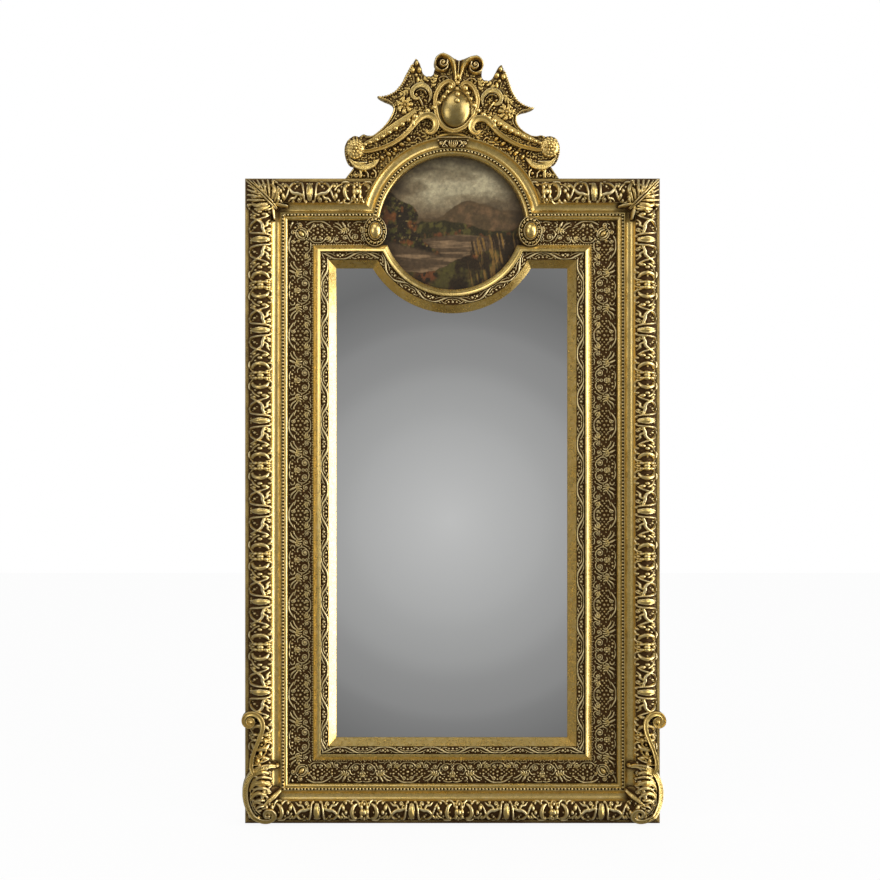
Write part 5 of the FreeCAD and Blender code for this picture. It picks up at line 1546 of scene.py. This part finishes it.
def painted_colours(x, z):
    """A made-up landscape in old oil colours: a mossy crag at the left, far hills, a river and a bank of reeds."""
    clip = lambda v: np.clip(v, 0, 1)
    ragged = lambda seed, size: wave(x, 0 * x, seed, size, 4) - 0.5
    fine, broad = wave(x, z, 11, 6.0, 3), wave(x, z, 3, 60.0, 5)
    dab, daub = wave(x * 1.3, z, 21, 11.0, 3), wave(x, z, 22, 20.0, 4)
    cloud = wave(x * 0.6 + 400, z * 1.4, 5, 64.0, 6)
    glint = wave(x * 0.3, z * 3.2, 6, 26.0, 4)
    reeds = wave(x * 3.0 + z * 0.5, z * 0.35, 18, 14.0, 3)
    rise = (z + 184) / 368
    hills = 30 + 20 * np.sin(x / 58 + 0.4) + 8 * np.sin(x / 23) + 12 * ragged(8, 30.0)
    slope = clip((2 + 12 * np.sin(x / 47 + 2.2) + 10 * ragged(9, 18.0) - z) / 3.0)
    water = over(np.tile((0.36, 0.28, 0.19), (len(x), 1)), (0.62, 0.50, 0.36), (glint - 0.44) * 5)
    face = -6 - 0.80 * (z + 40) + 16 * np.sin(z / 25) + 40 * (wave(0 * x + 9, z, 13, 34.0, 5) - 0.5) - 40
    crag = clip((face - x) / 3.0) * clip((z + 80 + 0.25 * x) / 8.0)
    bank = -84 + 30 * np.tanh((x - 10) / 60) + 12 * ragged(12, 22.0)
    land = clip((bank - z) / 3.0)
    stand = clip((bank + 34 + 16 * (wave(4 * x, 0 * x, 19, 20.0, 3) - 0.5) - z) / 4.0) * clip((x - 34) / 30)
    colour = np.tile((0.44, 0.35, 0.24), (len(x), 1))
    for paint, share in (
        ((0.60, 0.56, 0.43), (rise - 0.5) * 2.2),
        ((0.80, 0.75, 0.60), (cloud - 0.42) * 4.6 * clip((rise - 0.55) * 5)),
        ((0.34, 0.29, 0.21), (0.40 - cloud) * 5.0 * clip((rise - 0.5) * 4)),
        ((0.38, 0.30, 0.19), (hills + 4 - z) / 3.0),
        ((0.50, 0.38, 0.25), clip((hills - z) / 6.0) * (daub - 0.5) * 5),
        ((0.20, 0.18, 0.075), slope),
        ((0.38, 0.35, 0.15), slope * (dab - 0.50) * 5),
        ((0.48, 0.27, 0.13), slope * (daub - 0.62) * 9),
        (water, (-26 + 6 * np.sin(x / 39 + 1.0) - z) / 2.5),
        ((0.15, 0.11, 0.055), crag),
        ((0.34, 0.33, 0.12), crag * (dab - 0.52) * 7),
        ((0.52, 0.30, 0.12), crag * (daub - 0.56) * 8),
        ((0.60, 0.52, 0.30), crag * (fine - 0.66) * 6),
        ((0.17, 0.12, 0.05), land),
        ((0.35, 0.32, 0.13), land * (wave(x, z, 23, 24.0, 4) - 0.46) * 5),
        ((0.50, 0.28, 0.13), land * (broad - 0.52) * 8 * (dab > 0.4)),
        ((0.20, 0.14, 0.06), stand * (0.54 - reeds) * 9),
        ((0.62, 0.46, 0.20), stand * (reeds - 0.58) * 8),
        # The last layer darkens the paint towards the rim.
        ((0.09, 0.06, 0.03), np.clip((np.hypot(x, z) - 140) / 70, 0, 0.6)),
    ):
        colour = over(colour, paint, share)
    return clip(colour * (0.79 + 0.34 * (fine[:, None] - 0.5))), fine, dab


def make_painting():
    """The round panel, with its paint in relief."""
    step, radius, front, back = 1.6, 183.6, 34.0, 28.2
    line = np.arange(-radius - step, radius + 2 * step, step)
    a, b = np.meshgrid(line, line)
    r = np.hypot(a, b)
    keep = r < radius + 0.5 * step
    snap = np.abs(r - radius) < 0.5 * step
    a, b = (np.where(snap, v * radius / np.maximum(r, 1), v) for v in (a, b))
    colour, fine, dab = painted_colours(a.ravel(), b.ravel())
    lump = (0.25 * fine + 0.2 * dab * (colour.mean(1) > 0.3)).reshape(a.shape)
    piece = sheet(
        "painted_panel", a, front + lump, b + PICTURE_CENTRE, lump, step, 1.0, keep, back,
        slot="picture", finish=paint_material(),
    )
    mesh = piece.data
    co = np.empty(len(mesh.vertices) * 3, np.float32)
    mesh.vertices.foreach_get("co", co)
    co = co.reshape(-1, 3) * 1000.0
    colour, _, _ = painted_colours(co[:, 0].astype(float), co[:, 2].astype(float) - PICTURE_CENTRE)
    linear = np.where(colour <= 0.04045, colour / 12.92, ((colour + 0.055) / 1.055) ** 2.4)
    colours = np.column_stack([linear, np.ones(len(linear))]).astype(np.float32)
    mesh.attributes.new("paint", "FLOAT_COLOR", "POINT").data.foreach_set("color", colours.ravel())
    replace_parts(piece, "painting")


make_camera()
make_world()
make_light("key", (2.6, -2.6, 2.6), (0, 0, 0.9), (2.0, 2.0), 34)
make_light("top", (-0.5, -1.3, 2.9), (0, 0, 1.5), (1.4, 1.0), 9)
make_light("fill", (-2.4, -2.4, 1.6), (-0.3, 0, 0.8), (1.6, 1.6), 18)
make_ground()
dress_frame()
make_bands()
make_strings()
make_strips()
make_crest()
make_crest_ribbons()
make_garland()
make_top_leaves()
make_foot_leaves()
make_side_volutes()
make_medallions()
make_panel_corners()
make_keystone()
make_painting()
